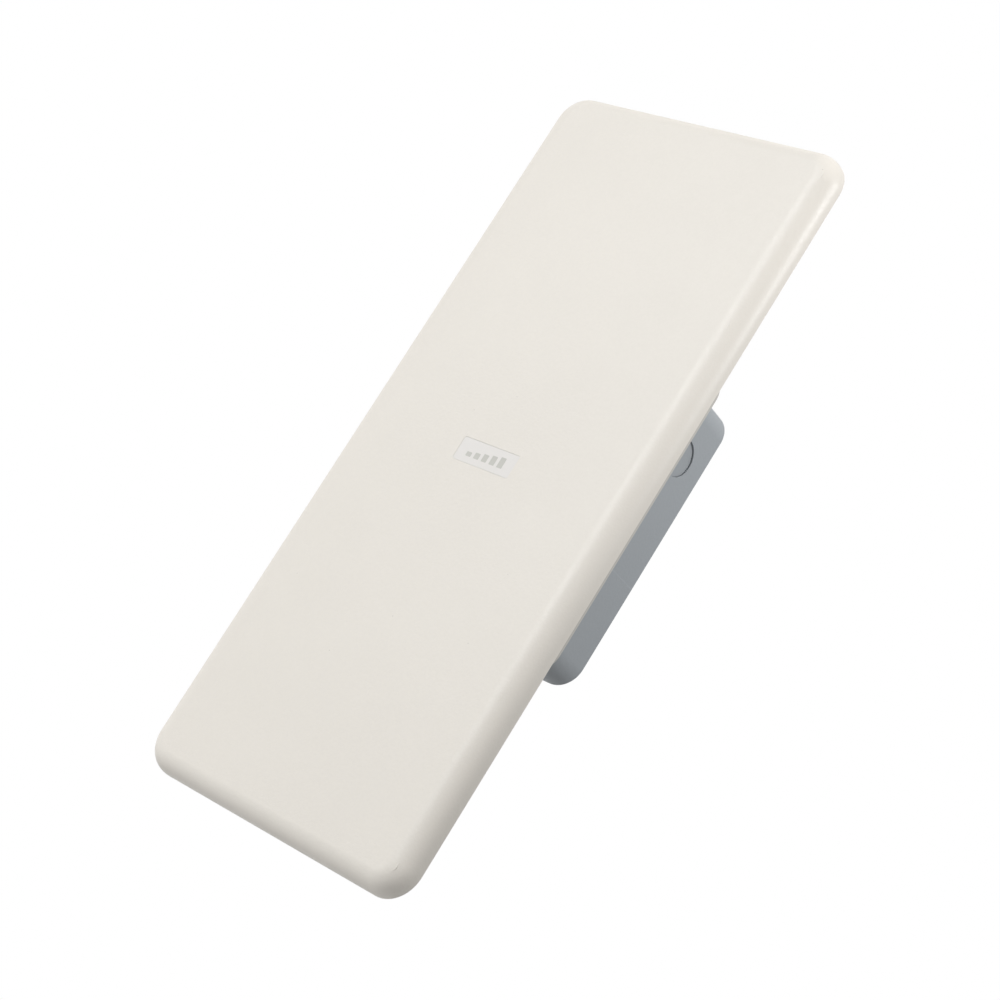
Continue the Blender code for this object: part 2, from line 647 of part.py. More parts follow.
# ---------------------------------------------------------------- carrier frame and housing
def carrier_frame():
    """Flat frame between the back plate and the housing."""
    edge = (FRAME_HALF[0] - FRAME_BEVEL, FRAME_HALF[1] - FRAME_BEVEL)
    opening = (FRAME_OPENING, FRAME_OPENING, FRAME_OPENING_CORNER)
    loops = [
        rounded_loop(*FRAME_HALF, FRAME_CORNER, FRAME_FRONT_Y),
        rounded_loop(*FRAME_HALF, FRAME_CORNER, FRAME_REAR_Y - FRAME_BEVEL),
        rounded_loop(*edge, FRAME_CORNER - FRAME_BEVEL, FRAME_REAR_Y),
        rounded_loop(*opening, FRAME_REAR_Y),
        rounded_loop(*opening, FRAME_FRONT_Y),
    ]
    body = make_object("carrier_frame", skin(bmesh.new(), loops, closed=True), "frame_plastic")
    below, above = FRAME_FRONT_Y - GAP, FRAME_REAR_Y + GAP
    combine(body, holes(corner_bosses(), LONG_SCREW[2] + FIT, below, above), "DIFFERENCE")
    combine(body, holes(cover_bosses(), SMALL_SCREW[0] + HEAD_CLEARANCE, below, above), "DIFFERENCE")
    return smooth(body)


def shell_tray():
    """The housing's walls: outside from the back to the front rim, then inside."""
    corner = HOUSING_CORNER
    inside = HOUSING_HALF - HOUSING_WALL
    edge = HOUSING_HALF - HOUSING_EDGE
    loops = [
        rounded_loop(edge, edge, corner - HOUSING_EDGE, 0.0),
        rounded_loop(HOUSING_HALF, HOUSING_HALF, corner, -HOUSING_EDGE),
        rounded_loop(HOUSING_HALF, HOUSING_HALF, corner, SHELL_FRONT_Y),
        rounded_loop(inside, inside, corner - HOUSING_WALL, SHELL_FRONT_Y),
        rounded_loop(inside, inside, corner - HOUSING_WALL, WALL_FRONT_Y),
    ]
    return make_object("housing_shell", skin(bmesh.new(), loops), "housing_coat")


def shell_bosses():
    """Everything that stands up inside the housing, in groups whose members stay apart."""
    root_y = WALL_FRONT_Y + FIN_FLOOR / 2
    board_seat_y = BOARD_REAR_Y + GAP
    top_y = SHELL_FRONT_Y + GAP
    yield holes(corner_bosses(), CORNER_BOSS_RADIUS, top_y, root_y)
    yield holes(cover_bosses(), COVER_BOSS_RADIUS, top_y, root_y)
    yield holes(four(BOARD_SCREW_AT), BOARD_BOSS_RADIUS, board_seat_y, root_y)
    yield holes(four(MOUNT_HOLE_AT), MOUNT_BOSS_RADIUS, -MOUNT_BOSS_DEPTH, root_y)
    shapes = bmesh.new()
    half = THERMAL_BOSS_HALF
    shield_rear_y = BOARD_REAR_Y + GAP + PROCESSOR_SHIELD_HEIGHT
    boss_y = shield_rear_y + GAP + THERMAL_PAD_THICKNESS + GAP
    add_box(shapes, (-half, boss_y, THERMAL_BOSS_Z - half), (half, root_y, THERMAL_BOSS_Z + half))
    inner_x = HOUSING_HALF - PLUG_COLLAR_DEPTH
    outer_x = HOUSING_HALF - HOUSING_WALL / 2
    add_rod(shapes, PLUG_COLLAR_RADIUS, (0, PLUG_Y, PLUG_Z), "x", inner_x, outer_x, PLUG_SIDES)
    low, high = BOTTOM_Z + HOUSING_WALL / 2, BOTTOM_Z + GROUND_BOSS_LENGTH
    add_rod(shapes, GROUND_BOSS_RADIUS, (GROUND_X, FITTING_Y, 0), "z", low, high)
    yield shapes


def fin_grooves():
    shapes = bmesh.new()
    for side in (-1, 1):
        for number in range(FIN_COUNT):
            middle = side * (PAD_HALF + FIN_PITCH * (number + 0.5))
            low = (middle - FIN_GROOVE / 2, -FIN_DEPTH, -FIN_HALF_LENGTH)
            high = (middle + FIN_GROOVE / 2, FIN_DEPTH, FIN_HALF_LENGTH)
            add_box(shapes, low, high)
    return shapes


def shell_holes():
    """Everything drilled or recessed in the housing, in groups whose members stay apart."""
    corner_end = SHELL_FRONT_Y + LONG_SCREW_GRIP + SCREW_SPARE
    yield holes(corner_bosses(), LONG_SCREW[2] + FIT, SHELL_FRONT_Y - GAP, corner_end)
    cover_end = COVER_FRONT_Y - GAP + COVER_SCREW_LENGTH + SCREW_SPARE
    yield holes(cover_bosses(), SMALL_SCREW[2] + FIT, SHELL_FRONT_Y - GAP, cover_end)
    board_end = PARTS_Y + BOARD_SCREW_LENGTH + SCREW_SPARE / 2
    yield holes(four(BOARD_SCREW_AT), SMALL_SCREW[2] + FIT, BOARD_REAR_Y - GAP, board_end)
    yield holes(four(MOUNT_HOLE_AT), MOUNT_HOLE_RADIUS, -MOUNT_HOLE_DEPTH, GAP)
    yield fin_grooves()
    seat_x = HOUSING_HALF - PLUG_SINK - PLUG_HEAD - GAP
    inner_x = HOUSING_HALF - PLUG_COLLAR_DEPTH - 2 * GAP
    outer_x = HOUSING_HALF + 2 * GAP
    bore, recess = PLUG_SHANK_RADIUS + FIT, PLUG_RADIUS + GAP
    stepped = [(0, inner_x), (bore, inner_x), (bore, seat_x)]
    stepped += [(recess, seat_x), (recess, outer_x), (0, outer_x)]
    yield add_turned(bmesh.new(), stepped, (0, PLUG_Y, PLUG_Z), "x", PLUG_SIDES)
    bottom = bmesh.new()
    low, high = BOTTOM_Z - GAP, BOTTOM_Z + HOUSING_WALL + GAP
    add_rod(bottom, GLAND_THREAD + FIT, (0, FITTING_Y, 0), "z", low, high, GLAND_SIDES)
    add_rod(bottom, VENT_SHANK[0] + FIT, (VENT_X, FITTING_Y, 0), "z", low, high)
    add_rod(bottom, LENS_SHANK[0] + FIT, (LENS_X, FITTING_Y, 0), "z", low, high)
    ground_end = BOTTOM_Z - GAP + GROUND_SHANK[1] - SCREW_SPARE
    add_rod(bottom, GROUND_SHANK[0] + FIT, (GROUND_X, FITTING_Y, 0), "z", low, ground_end)
    yield bottom


def housing_shell():
    """Die-cast box, open at the front, with cooling fins and the mounting pad on its back."""
    body = shell_tray()
    for shapes in shell_bosses():
        combine(body, shapes, "UNION")
    for shapes in shell_holes():
        combine(body, shapes, "DIFFERENCE")
    return smooth(body)


def grommet_places():
    return [(CONNECTOR_X, PASSAGE_Z), (-CONNECTOR_X, PASSAGE_Z)]


def housing_cover():
    half = (HOUSING_HALF, HOUSING_HALF)
    body = plate("housing_cover", "cover_metal", half, HOUSING_CORNER, COVER_FRONT_Y, COVER_REAR_Y)
    below, above = COVER_FRONT_Y - GAP, COVER_REAR_Y + GAP
    combine(body, holes(corner_bosses(), LONG_SCREW[2] + FIT, below, above), "DIFFERENCE")
    combine(body, holes(cover_bosses(), SMALL_SCREW[2] + FIT, below, above), "DIFFERENCE")
    combine(body, holes(grommet_places(), GROMMET_NECK + GAP, below, above), "DIFFERENCE")
    return smooth(body)


def housing_gasket():
    half = (HOUSING_HALF - GASKET_INSET, HOUSING_HALF - GASKET_INSET)
    corner = HOUSING_CORNER - GASKET_INSET
    return ring("housing_gasket", "seal_rubber", half, corner, GASKET_WIDTH, GASKET_FRONT_Y, GASKET_REAR_Y)


def housing():
    carrier_frame()
    housing_shell()
    housing_gasket()
    housing_cover()
    for number, (x, z) in enumerate(cover_bosses(), 1):
        screw(f"cover_screw_{number}", SMALL_SCREW, COVER_SCREW_LENGTH, x, COVER_FRONT_Y - GAP, z, 1)
    length = SHELL_FRONT_Y + LONG_SCREW_GRIP - FEED_REAR_Y
    for number, (x, z) in enumerate(corner_bosses(), 1):
        screw(f"housing_screw_{number}", LONG_SCREW, length, x, FEED_REAR_Y, z, 1)


# ---------------------------------------------------------------- radio board
def main_board():
    half = (BOARD_HALF, BOARD_HALF)
    body = plate("main_board", "board_laminate", half, FEED_BOARD_CORNER, BOARD_FRONT_Y, BOARD_REAR_Y)
    places = four(BOARD_SCREW_AT)
    radius = SMALL_SCREW[2] + FIT
    return combine(body, holes(places, radius, BOARD_FRONT_Y - GAP, BOARD_REAR_Y + GAP), "DIFFERENCE")


def shields():
    half = PROCESSOR_SHIELD_HALF
    shield_y = BOARD_REAR_Y + GAP + PROCESSOR_SHIELD_HEIGHT / 2
    size = (2 * half, PROCESSOR_SHIELD_HEIGHT, 2 * half)
    block("processor_shield", "shield_metal", (0, shield_y, THERMAL_BOSS_Z), size)
    pad_y = shield_y + PROCESSOR_SHIELD_HEIGHT / 2 + GAP + THERMAL_PAD_THICKNESS / 2
    pad_side = 2 * half - GAP
    size = (pad_side, THERMAL_PAD_THICKNESS, pad_side)
    block("thermal_pad", "pad_silicone", (0, pad_y, THERMAL_BOSS_Z), size)
    radio_y = PARTS_Y - RADIO_SHIELD[1] / 2
    block("radio_shield", "shield_metal", (0, radio_y, RADIO_SHIELD_Z), RADIO_SHIELD)


def lan_jack():
    """Socket whose port faces the cable gland."""
    middle_y = PARTS_Y - JACK[1] / 2
    body = block("lan_jack", "black_plastic", (0, middle_y, JACK_FRONT_Z + JACK[2] / 2), JACK)
    low = (-JACK_PORT[0] / 2, middle_y - JACK_PORT[1] / 2, JACK_FRONT_Z - GAP)
    high = (JACK_PORT[0] / 2, middle_y + JACK_PORT[1] / 2, JACK_FRONT_Z + JACK_PORT[2])
    return combine(body, add_box(bmesh.new(), low, high), "DIFFERENCE")


def pigtail_route(x):
    """Out of its connector, round to face forward, then straight to the feed board."""
    start_y = BOARD_FRONT_Y - PIGTAIL_DROP
    start = Vector((x, start_y, CONNECTOR_Z - GAP))
    drop, run = CONNECTOR_Z - PASSAGE_Z, start_y - PIGTAIL_STRAIGHT_Y
    leave = Vector((x, start_y, CONNECTOR_Z - PIGTAIL_HANDLES[0] * drop))
    arrive = Vector((x, start_y - PIGTAIL_HANDLES[1] * run, PASSAGE_Z))
    bend_end = Vector((x, PIGTAIL_STRAIGHT_Y, PASSAGE_Z))
    points = []
    for step in range(PIGTAIL_STEPS + 1):
        t = step / PIGTAIL_STEPS
        s = 1 - t
        points.append(s**3 * start + 3 * s * s * t * leave + 3 * s * t * t * arrive + t**3 * bend_end)
    end_y = FEED_REAR_Y + GAP
    for step in range(1, STRAIGHT_STEPS + 1):
        y = PIGTAIL_STRAIGHT_Y + (end_y - PIGTAIL_STRAIGHT_Y) * step / STRAIGHT_STEPS
        points.append(Vector((x, y, PASSAGE_Z)))
    return points


def pigtail(name, x):
    points = pigtail_route(x)
    curve = bpy.data.curves.new(name, "CURVE")
    curve.dimensions = "3D"
    curve.bevel_depth = PIGTAIL_RADIUS
    curve.bevel_resolution = 2
    curve.use_fill_caps = True
    spline = curve.splines.new("POLY")
    spline.points.add(len(points) - 1)
    for control, point in zip(spline.points, points):
        control.co = (*point, 1.0)
    obj = bpy.data.objects.new(name, curve)
    bpy.context.scene.collection.objects.link(obj)
    curve.materials.append(finish("cable_jacket"))
    return obj


def pigtail_grommet(name, x, z):
    """Rubber bush in the housing cover, with a lip on each side."""
    bore = PIGTAIL_RADIUS + FIT
    front, rear = COVER_FRONT_Y - GAP, COVER_REAR_Y + GAP
    profile = [
        (bore, front - GROMMET_LIP),
        (GROMMET_FLANGE, front - GROMMET_LIP),
        (GROMMET_FLANGE, front),
        (GROMMET_NECK, front),
        (GROMMET_NECK, rear),
        (GROMMET_FLANGE, rear),
        (GROMMET_FLANGE, rear + GROMMET_LIP),
        (bore, rear + GROMMET_LIP),
    ]
    return turned(name, "seal_rubber", profile, (x, 0, z), "y")


def radio_board():
    main_board()
    for number, (x, z) in enumerate(four(BOARD_SCREW_AT), 1):
        screw(f"board_screw_{number}", SMALL_SCREW, BOARD_SCREW_LENGTH, x, PARTS_Y, z, 1)
    shields()
    lan_jack()
    for number, (x, z) in enumerate(grommet_places(), 1):
        centre = (x, PARTS_Y - CONNECTOR[1] / 2, CONNECTOR_Z + CONNECTOR[2] / 2)
        block(f"rf_connector_{number}", "connector_brass", centre, CONNECTOR)
        pigtail(f"pigtail_{number}", x)
        pigtail_grommet(f"pigtail_grommet_{number}", x, z)


# ---------------------------------------------------------------- side plug and reset switch
def side_plug():
    """Push-in cap over the reset switch, sunk a little below the wall; its axis is the bore's."""
    face_x = HOUSING_HALF - PLUG_SINK
    under_x = face_x - PLUG_HEAD
    groove_outer_x = under_x - RING_DEPTH + RING_SECTION + GAP
    groove_inner_x = under_x - RING_DEPTH - GAP
    groove_radius = PLUG_SHANK_RADIUS - RING_SECTION
    end_x = under_x - PLUG_SHANK_LENGTH
    profile = [
        (0, face_x),
        (PLUG_RADIUS, face_x),
        (PLUG_RADIUS, under_x),
        (PLUG_SHANK_RADIUS, under_x),
        (PLUG_SHANK_RADIUS, groove_outer_x),
        (groove_radius, groove_outer_x),
        (groove_radius, groove_inner_x),
        (PLUG_SHANK_RADIUS, groove_inner_x),
        (PLUG_SHANK_RADIUS, end_x),
        (0, end_x),
    ]
    turned("side_plug", "plug_plastic", profile, (0, PLUG_Y, PLUG_Z), "x", PLUG_SIDES)
    outer = PLUG_SHANK_RADIUS + RING_PROUD
    inner = groove_radius + GAP
    high = under_x - RING_DEPTH + RING_SECTION
    low = under_x - RING_DEPTH
    section = [(inner, low), (outer, low), (outer, high), (inner, high)]
    turned("plug_ring", "seal_rubber", section, (0, PLUG_Y, PLUG_Z), "x", PLUG_SIDES)


def reset_switch():
    """Side-facing push switch on the board, and the button that slides in it along X."""
    centre = (SWITCH_X - SWITCH_LENGTH / 2, PARTS_Y - SWITCH_HEIGHT / 2, PLUG_Z)
    body = block("reset_switch", "black_plastic", centre, (SWITCH_LENGTH, SWITCH_HEIGHT, SWITCH_WIDTH))
    well_end = SWITCH_X - BUTTON_INSIDE - BUTTON_TRAVEL - GAP
    axis_point = (0, PLUG_Y, PLUG_Z)
    well = add_rod(bmesh.new(), BUTTON_RADIUS + GAP, axis_point, "x", well_end, SWITCH_X + GAP)
    combine(body, well, "DIFFERENCE")
    profile = rod_profile(BUTTON_RADIUS, SWITCH_X - BUTTON_INSIDE, SWITCH_X + BUTTON_REACH)
    turned("reset_button", "button_plastic", profile, axis_point, "x")


# ---------------------------------------------------------------- fittings in the bottom wall
def gland():
    """Cable gland: body through the wall, locknut inside, seal in the body's cup, dome nut below."""
    base = (0, FITTING_Y, 0)
    flange_top = BOTTOM_Z - GAP
    flange_bottom = flange_top - GLAND_FLANGE
    body_bottom = flange_bottom - GLAND_OUTER_LENGTH
    body_top = BOTTOM_Z + HOUSING_WALL + GLAND_INNER_LENGTH
    cup_top = body_bottom + GLAND_CUP_DEPTH
    body = [
        (GLAND_BORE, body_top),
        (GLAND_THREAD, body_top),
        (GLAND_THREAD, flange_top),
        (GLAND_HEX, flange_top, "hex"),
        (GLAND_HEX, flange_bottom, "hex"),
        (GLAND_THREAD, flange_bottom),
        (GLAND_THREAD, body_bottom),
        (GLAND_CUP, body_bottom),
        (GLAND_CUP, cup_top),
        (GLAND_BORE, cup_top),
    ]
    turned("gland_body", "gland_nylon", body, base, "z", GLAND_SIDES)
    seal_top, seal_bottom = cup_top - GAP, body_bottom
    seal_outer = GLAND_CUP - GAP
    seal = [(SEAL_BORE, seal_bottom), (seal_outer, seal_bottom)]
    seal += [(seal_outer, seal_top), (SEAL_BORE, seal_top)]
    turned("gland_seal", "seal_rubber", seal, base, "z", GLAND_SIDES)
    nut_top = flange_bottom - GAP
    nut_bottom = nut_top - NUT_LENGTH
    shoulder = body_bottom - GAP
    bore = GLAND_THREAD + FIT
    nut = [
        (bore, nut_top),
        (GLAND_HEX, nut_top, "hex"),
        (GLAND_HEX, shoulder, "hex"),
        (GLAND_THREAD + GAP, shoulder - (shoulder - nut_bottom) / 2),
        ((GLAND_BORE + GLAND_THREAD) / 2, nut_bottom),
        (GLAND_BORE, nut_bottom),
        (GLAND_BORE, shoulder),
        (bore, shoulder),
    ]
    turned("gland_nut", "gland_nylon", nut, base, "z", GLAND_SIDES)
    lock_bottom = BOTTOM_Z + HOUSING_WALL + GAP
    lock_top = lock_bottom + LOCKNUT_LENGTH
    lock = [(bore, lock_bottom), (LOCKNUT_RADIUS, lock_bottom), (LOCKNUT_RADIUS, lock_top), (bore, lock_top)]
    turned("gland_locknut", "gland_nylon", lock, base, "z", GLAND_SIDES)


def headed_pin(name, material_name, x, head, shank):
    """A piece pushed or screwed up through the bottom wall: a round head below it, a shank inside."""
    seat = BOTTOM_Z - GAP
    low = seat - head[1]
    profile = [
        (0, low),
        (head[0] * PIN_CROWN[0], low),
        (head[0], low + head[1] * PIN_CROWN[1]),
        (head[0], seat),
        (shank[0], seat),
        (shank[0], seat + shank[1]),
        (0, seat + shank[1]),
    ]
    return turned(name, material_name, profile, (x, FITTING_Y, 0), "z", GLAND_SIDES // 2)


def bottom_fittings():
    gland()
    headed_pin("vent", "black_plastic", VENT_X, VENT_HEAD, VENT_SHANK)
    shank = (GROUND_SHANK[0], GROUND_SHANK[1] - 2 * SCREW_SPARE)
    headed_pin("ground_screw", "screw_steel", GROUND_X, GROUND_HEAD, shank)
    headed_pin("status_lens", "lens_plastic", LENS_X, LENS_HEAD, LENS_SHANK)


def main():
    clear_scene()
    antenna()
    housing()
    radio_board()
    side_plug()
    reset_switch()
    bottom_fittings()


main()
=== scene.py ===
"""Looks of the outdoor wireless bridge.

Finely modelled shells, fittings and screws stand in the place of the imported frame's solids.
Row frame: +Z runs up along the panel, the radome faces -Y and the housing's rear mounting
face is the plane y = 0. All lengths are in metres.
"""

import json
import math

import bmesh
import bpy
from mathutils import Matrix, Vector

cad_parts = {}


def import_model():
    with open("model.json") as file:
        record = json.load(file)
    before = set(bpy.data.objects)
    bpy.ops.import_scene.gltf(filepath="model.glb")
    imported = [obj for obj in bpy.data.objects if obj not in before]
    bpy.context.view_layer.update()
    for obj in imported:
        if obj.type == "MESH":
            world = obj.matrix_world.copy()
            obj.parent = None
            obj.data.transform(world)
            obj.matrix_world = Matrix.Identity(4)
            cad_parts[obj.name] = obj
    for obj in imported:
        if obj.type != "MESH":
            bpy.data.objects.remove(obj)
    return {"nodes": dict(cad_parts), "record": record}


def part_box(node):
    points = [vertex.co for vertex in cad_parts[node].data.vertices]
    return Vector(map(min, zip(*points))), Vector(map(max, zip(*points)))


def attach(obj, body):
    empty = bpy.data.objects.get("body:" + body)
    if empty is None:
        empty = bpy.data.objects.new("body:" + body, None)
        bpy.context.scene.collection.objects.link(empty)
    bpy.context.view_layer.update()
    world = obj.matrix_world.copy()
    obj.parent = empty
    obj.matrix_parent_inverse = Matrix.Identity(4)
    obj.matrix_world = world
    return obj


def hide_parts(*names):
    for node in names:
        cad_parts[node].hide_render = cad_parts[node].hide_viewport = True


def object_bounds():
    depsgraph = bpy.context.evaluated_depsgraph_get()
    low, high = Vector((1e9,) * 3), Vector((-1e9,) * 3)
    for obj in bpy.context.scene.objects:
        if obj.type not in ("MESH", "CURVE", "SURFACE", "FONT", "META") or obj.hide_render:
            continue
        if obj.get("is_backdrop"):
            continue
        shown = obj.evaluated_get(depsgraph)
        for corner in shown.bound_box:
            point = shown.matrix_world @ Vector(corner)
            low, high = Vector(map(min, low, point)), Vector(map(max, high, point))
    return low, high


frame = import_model()
CAD_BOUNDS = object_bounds()

# ---------------------------------------------------------------- sizes shared by several pieces
GAP = 0.0003  # between faces that touch
FIT = 0.0004  # round a screw in its hole, on the radius
CORNER_STEPS = 18  # segments in a plan corner
SLOT_STEPS = 8  # segments in each corner of a slot
SLOT_ROUND = 0.98  # a slot's corner radius, as a share of its half width
EDGE_STEPS = 6  # segments in a rounded edge
DOME_STEPS = 8  # segments in a domed head
FINEST_SIDES = 96  # sides of the plug and the gland
FINE_SIDES = 64  # sides of any other round piece that shows
SMALL_SIDES = 40  # sides of a hole or a small piece
WELD = 0.000001  # points this close after a cut or a join are one point
EDGE = 0.00025  # broken edge of a moulded or cast piece
TINY_EDGE = 0.00012
EDGE_SEGMENTS = 2
EDGE_ANGLE = math.radians(40)

SMALL_SCREW = (0.0028, 0.0022, 0.0014)  # head radius, head height, shank radius
LONG_SCREW = (0.0037, 0.0026, 0.0020)
SMALL_HOLE = SMALL_SCREW[2] + FIT
LONG_HOLE = LONG_SCREW[2] + FIT
BOSS_AT = 0.0830  # housing screws, from the centre both ways
COVER_SCREW_AT = (0.0400, 0.0860)
BOARD_SCREW_AT = 0.0680


# ---------------------------------------------------------------- mesh tools
QUARTERS = ((1, 1), (-1, 1), (-1, -1), (1, -1))  # corners in turn, by the signs of x and z
BOX_FACES = ((0, 1, 3, 2), (4, 6, 7, 5), (0, 4, 5, 1), (2, 3, 7, 6), (0, 2, 6, 4), (1, 5, 7, 3))


def round_corners(steps=CORNER_STEPS):
    """Steps round a rounded outline: the angle, and the signs of x and z at its corner."""
    for quarter, (sign_x, sign_z) in enumerate(QUARTERS):
        for step in range(steps + 1):
            yield math.pi / 2 * (quarter + step / steps), sign_x, sign_z


def quarter_turn(steps):
    """Angles from 0 to a right angle, in equal steps."""
    return [math.pi / 2 * step / steps for step in range(steps + 1)]


def rounded_loop(half_x, half_z, radius, y, middle=(0.0, 0.0), steps=CORNER_STEPS):
    """A rounded rectangle in the plane y, as a list of points."""
    points = []
    for angle, sign_x, sign_z in round_corners(steps):
        x = middle[0] + sign_x * (half_x - radius) + radius * math.cos(angle)
        z = middle[1] + sign_z * (half_z - radius) + radius * math.sin(angle)
        points.append(Vector((x, y, z)))
    return points


def skin(shape, loops, closed=False):
    """Quads from each loop to the next; the ends are capped, or joined if closed."""
    rows = [[shape.verts.new(point) for point in loop] for loop in loops]
    pairs = list(zip(rows, rows[1:]))
    if closed:
        pairs.append((rows[-1], rows[0]))
    for first, second in pairs:
        count = len(first)
        for i in range(count):
            j = (i + 1) % count
            shape.faces.new((first[i], first[j], second[j], second[i]))
    if not closed:
        shape.faces.new(rows[0])
        shape.faces.new(list(reversed(rows[-1])))
    return shape


AXES = {
    "x": (Vector((0, 1, 0)), Vector((0, 0, 1)), Vector((1, 0, 0))),
    "y": (Vector((0, 0, 1)), Vector((1, 0, 0)), Vector((0, 1, 0))),
    "z": (Vector((1, 0, 0)), Vector((0, 1, 0)), Vector((0, 0, 1))),
}


def hexagon(angle, flats):
    """Distance from the axis to a hexagon's side at this angle."""
    return flats / math.cos(math.fmod(angle, math.pi / 3) - math.pi / 6)


def add_turned(shape, profile, base, axis, sides=FINE_SIDES):
    """Turns a profile of (radius, height) about an axis through base.

    A radius may be a function of the angle. A profile that starts and ends on the axis gives
    a solid piece, any other is closed into a bored one.
    """
    across, up, along = AXES[axis]
    rows = []
    for radius, height in profile:
        middle = Vector(base) + along * height
        if radius == 0:
            rows.append([shape.verts.new(middle)])
            continue
        row = []
        for i in range(sides):
            angle = 2 * math.pi * i / sides
            reach = radius(angle) if callable(radius) else radius
            outward = across * math.cos(angle) + up * math.sin(angle)
            row.append(shape.verts.new(middle + reach * outward))
        rows.append(row)
    pairs = list(zip(rows, rows[1:]))
    if len(rows[0]) > 1:
        pairs.append((rows[-1], rows[0]))
    for first, second in pairs:
        for i in range(sides):
            j = (i + 1) % sides
            if len(first) == 1:
                shape.faces.new((first[0], second[j], second[i]))
            elif len(second) == 1:
                shape.faces.new((first[i], first[j], second[0]))
            else:
                shape.faces.new((first[i], first[j], second[j], second[i]))
    return shape


def add_rod(shape, radius, base, axis, low, high, sides=SMALL_SIDES):
    profile = [(0, low), (radius, low), (radius, high), (0, high)]
    return add_turned(shape, profile, base, axis, sides)


def add_box(shape, low, high):
    xs, ys, zs = zip(low, high)
    verts = [shape.verts.new((x, y, z)) for x in xs for y in ys for z in zs]
    for face in BOX_FACES:
        shape.faces.new([verts[i] for i in face])
    return shape


def make_object(name, shape):
    bmesh.ops.recalc_face_normals(shape, faces=shape.faces[:])
    mesh = bpy.data.meshes.new(name)
    shape.to_mesh(mesh)
    shape.free()
    obj = bpy.data.objects.new(name, mesh)
    bpy.context.scene.collection.objects.link(obj)
    return obj


def skinned(name, loops, closed=False):
    return make_object(name, skin(bmesh.new(), loops, closed))


def turned(name, profile, base, axis, sides=FINE_SIDES):
    return make_object(name, add_turned(bmesh.new(), profile, base, axis, sides))


def combine(obj, shape, operation):
    """Cuts the shape from obj (DIFFERENCE) or joins it to it (UNION)."""
    tool = make_object(obj.name + "_tool", shape)
    modifier = obj.modifiers.new("combine", "BOOLEAN")
    modifier.operation = operation
    modifier.object = tool
    bpy.context.view_layer.update()
    combined = obj.evaluated_get(bpy.context.evaluated_depsgraph_get())
    result = bpy.data.meshes.new_from_object(combined)
    welded = bmesh.new()
    welded.from_mesh(result)
    bmesh.ops.remove_doubles(welded, verts=welded.verts[:], dist=WELD)
    bmesh.ops.dissolve_degenerate(welded, edges=welded.edges[:], dist=WELD)
    welded.to_mesh(result)
    welded.free()
    obj.modifiers.clear()
    before = obj.data
    obj.data = result
    bpy.data.meshes.remove(before)
    bpy.data.objects.remove(tool, do_unlink=True)


def soften(obj, width=EDGE, angle=EDGE_ANGLE):
    """Breaks the sharp edges and shades the piece smooth."""
    obj.data.shade_smooth()
    bevel = obj.modifiers.new("edges", "BEVEL")
    bevel.width = width
    bevel.segments = EDGE_SEGMENTS
    bevel.limit_method = "ANGLE"
    bevel.angle_limit = angle
    normals = obj.modifiers.new("shading", "WEIGHTED_NORMAL")
    normals.keep_sharp = True
    return obj


def put(obj, nodes, slot, body="bridge"):
    """Gives a piece its finish, the nodes it stands for and the body it rides on."""
    obj.data.materials.clear()
    obj.data.materials.append(FINISHES[slot])
    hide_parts(*nodes)
    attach(obj, body)
    return obj


def four(at_x, at_z=None):
    """The four places (+-x, +-z)."""
    at_z = at_x if at_z is None else at_z
    return [(sign_x * at_x, sign_z * at_z) for sign_x in (1, -1) for sign_z in (1, -1)]


def rods(places, radius, low, high):
    """Rods along Y at these (x, z) places."""
    shape = bmesh.new()
    for x, z in places:
        add_rod(shape, radius, (x, 0, z), "y", low, high)
    return shape


def drill(obj, places, radius, low, high):
    combine(obj, rods(places, radius, low, high), "DIFFERENCE")


def centre(node):
    low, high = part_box(node)
    return (low + high) / 2


def places_of(nodes):
    """The nodes' centres, in x and z."""
    return [(centre(node).x, centre(node).z) for node in nodes]


# ---------------------------------------------------------------- shader groups
SOCKET_KINDS = {
    "float": "NodeSocketFloat",
    "color": "NodeSocketColor",
    "vector": "NodeSocketVector",
}
MIX_INPUTS = (0, 6, 7)  # a colour mix's factor and its two colours
MIX_RESULT = 2
MASK_RANGE = (0.35, 0.65)  # the noise that a mask spreads over
GRAIN_NOISE = (3.0, 0.6)  # detail, roughness
PEEL_NOISE = (1.0, 0.4)
LINE_NOISE = (4.0, 0.65)
DRIFT_NOISE = (9.0, 3.0, 0.55)  # scale, detail, roughness
DRIFT_RANGE = (0.35, 0.7)
WEAR_RADIUS = 0.0005
WEAR_SAMPLES = 4
WEAR_TURN = (0.999, 0.93)  # cosine of the turn within that radius, from unworn to worn
WEAR_NOISE = (4.0, 0.6)
WEAR_RANGE = (0.4, 0.62)


def new_group(name, inputs, outputs):
    """A node group with float, colour or vector sockets; returns it with its two end nodes."""
    tree = bpy.data.node_groups.new(name, "ShaderNodeTree")
    for socket_name, kind, value in inputs:
        socket = tree.interface.new_socket(
            socket_name, in_out="INPUT", socket_type=SOCKET_KINDS[kind]
        )
        socket.default_value = value
    for socket_name, kind in outputs:
        tree.interface.new_socket(socket_name, in_out="OUTPUT", socket_type=SOCKET_KINDS[kind])
    start = tree.nodes.new("NodeGroupInput")
    end = tree.nodes.new("NodeGroupOutput")
    return tree, start, end


def feed(tree, socket, value):
    """Links the socket to another one, or sets its plain value."""
    if isinstance(value, bpy.types.NodeSocket):
        tree.links.new(value, socket)
    else:
        socket.default_value = value


def add_math(tree, operation, first, second=None, clamp=False):
    node = tree.nodes.new("ShaderNodeMath")
    node.operation = operation
    node.use_clamp = clamp
    feed(tree, node.inputs[0], first)
    if second is not None:
        feed(tree, node.inputs[1], second)
    return node.outputs[0]


def add_vector_math(tree, operation, first, second):
    node = tree.nodes.new("ShaderNodeVectorMath")
    node.operation = operation
    feed(tree, node.inputs[0], first)
    feed(tree, node.inputs[1], second)
    return node


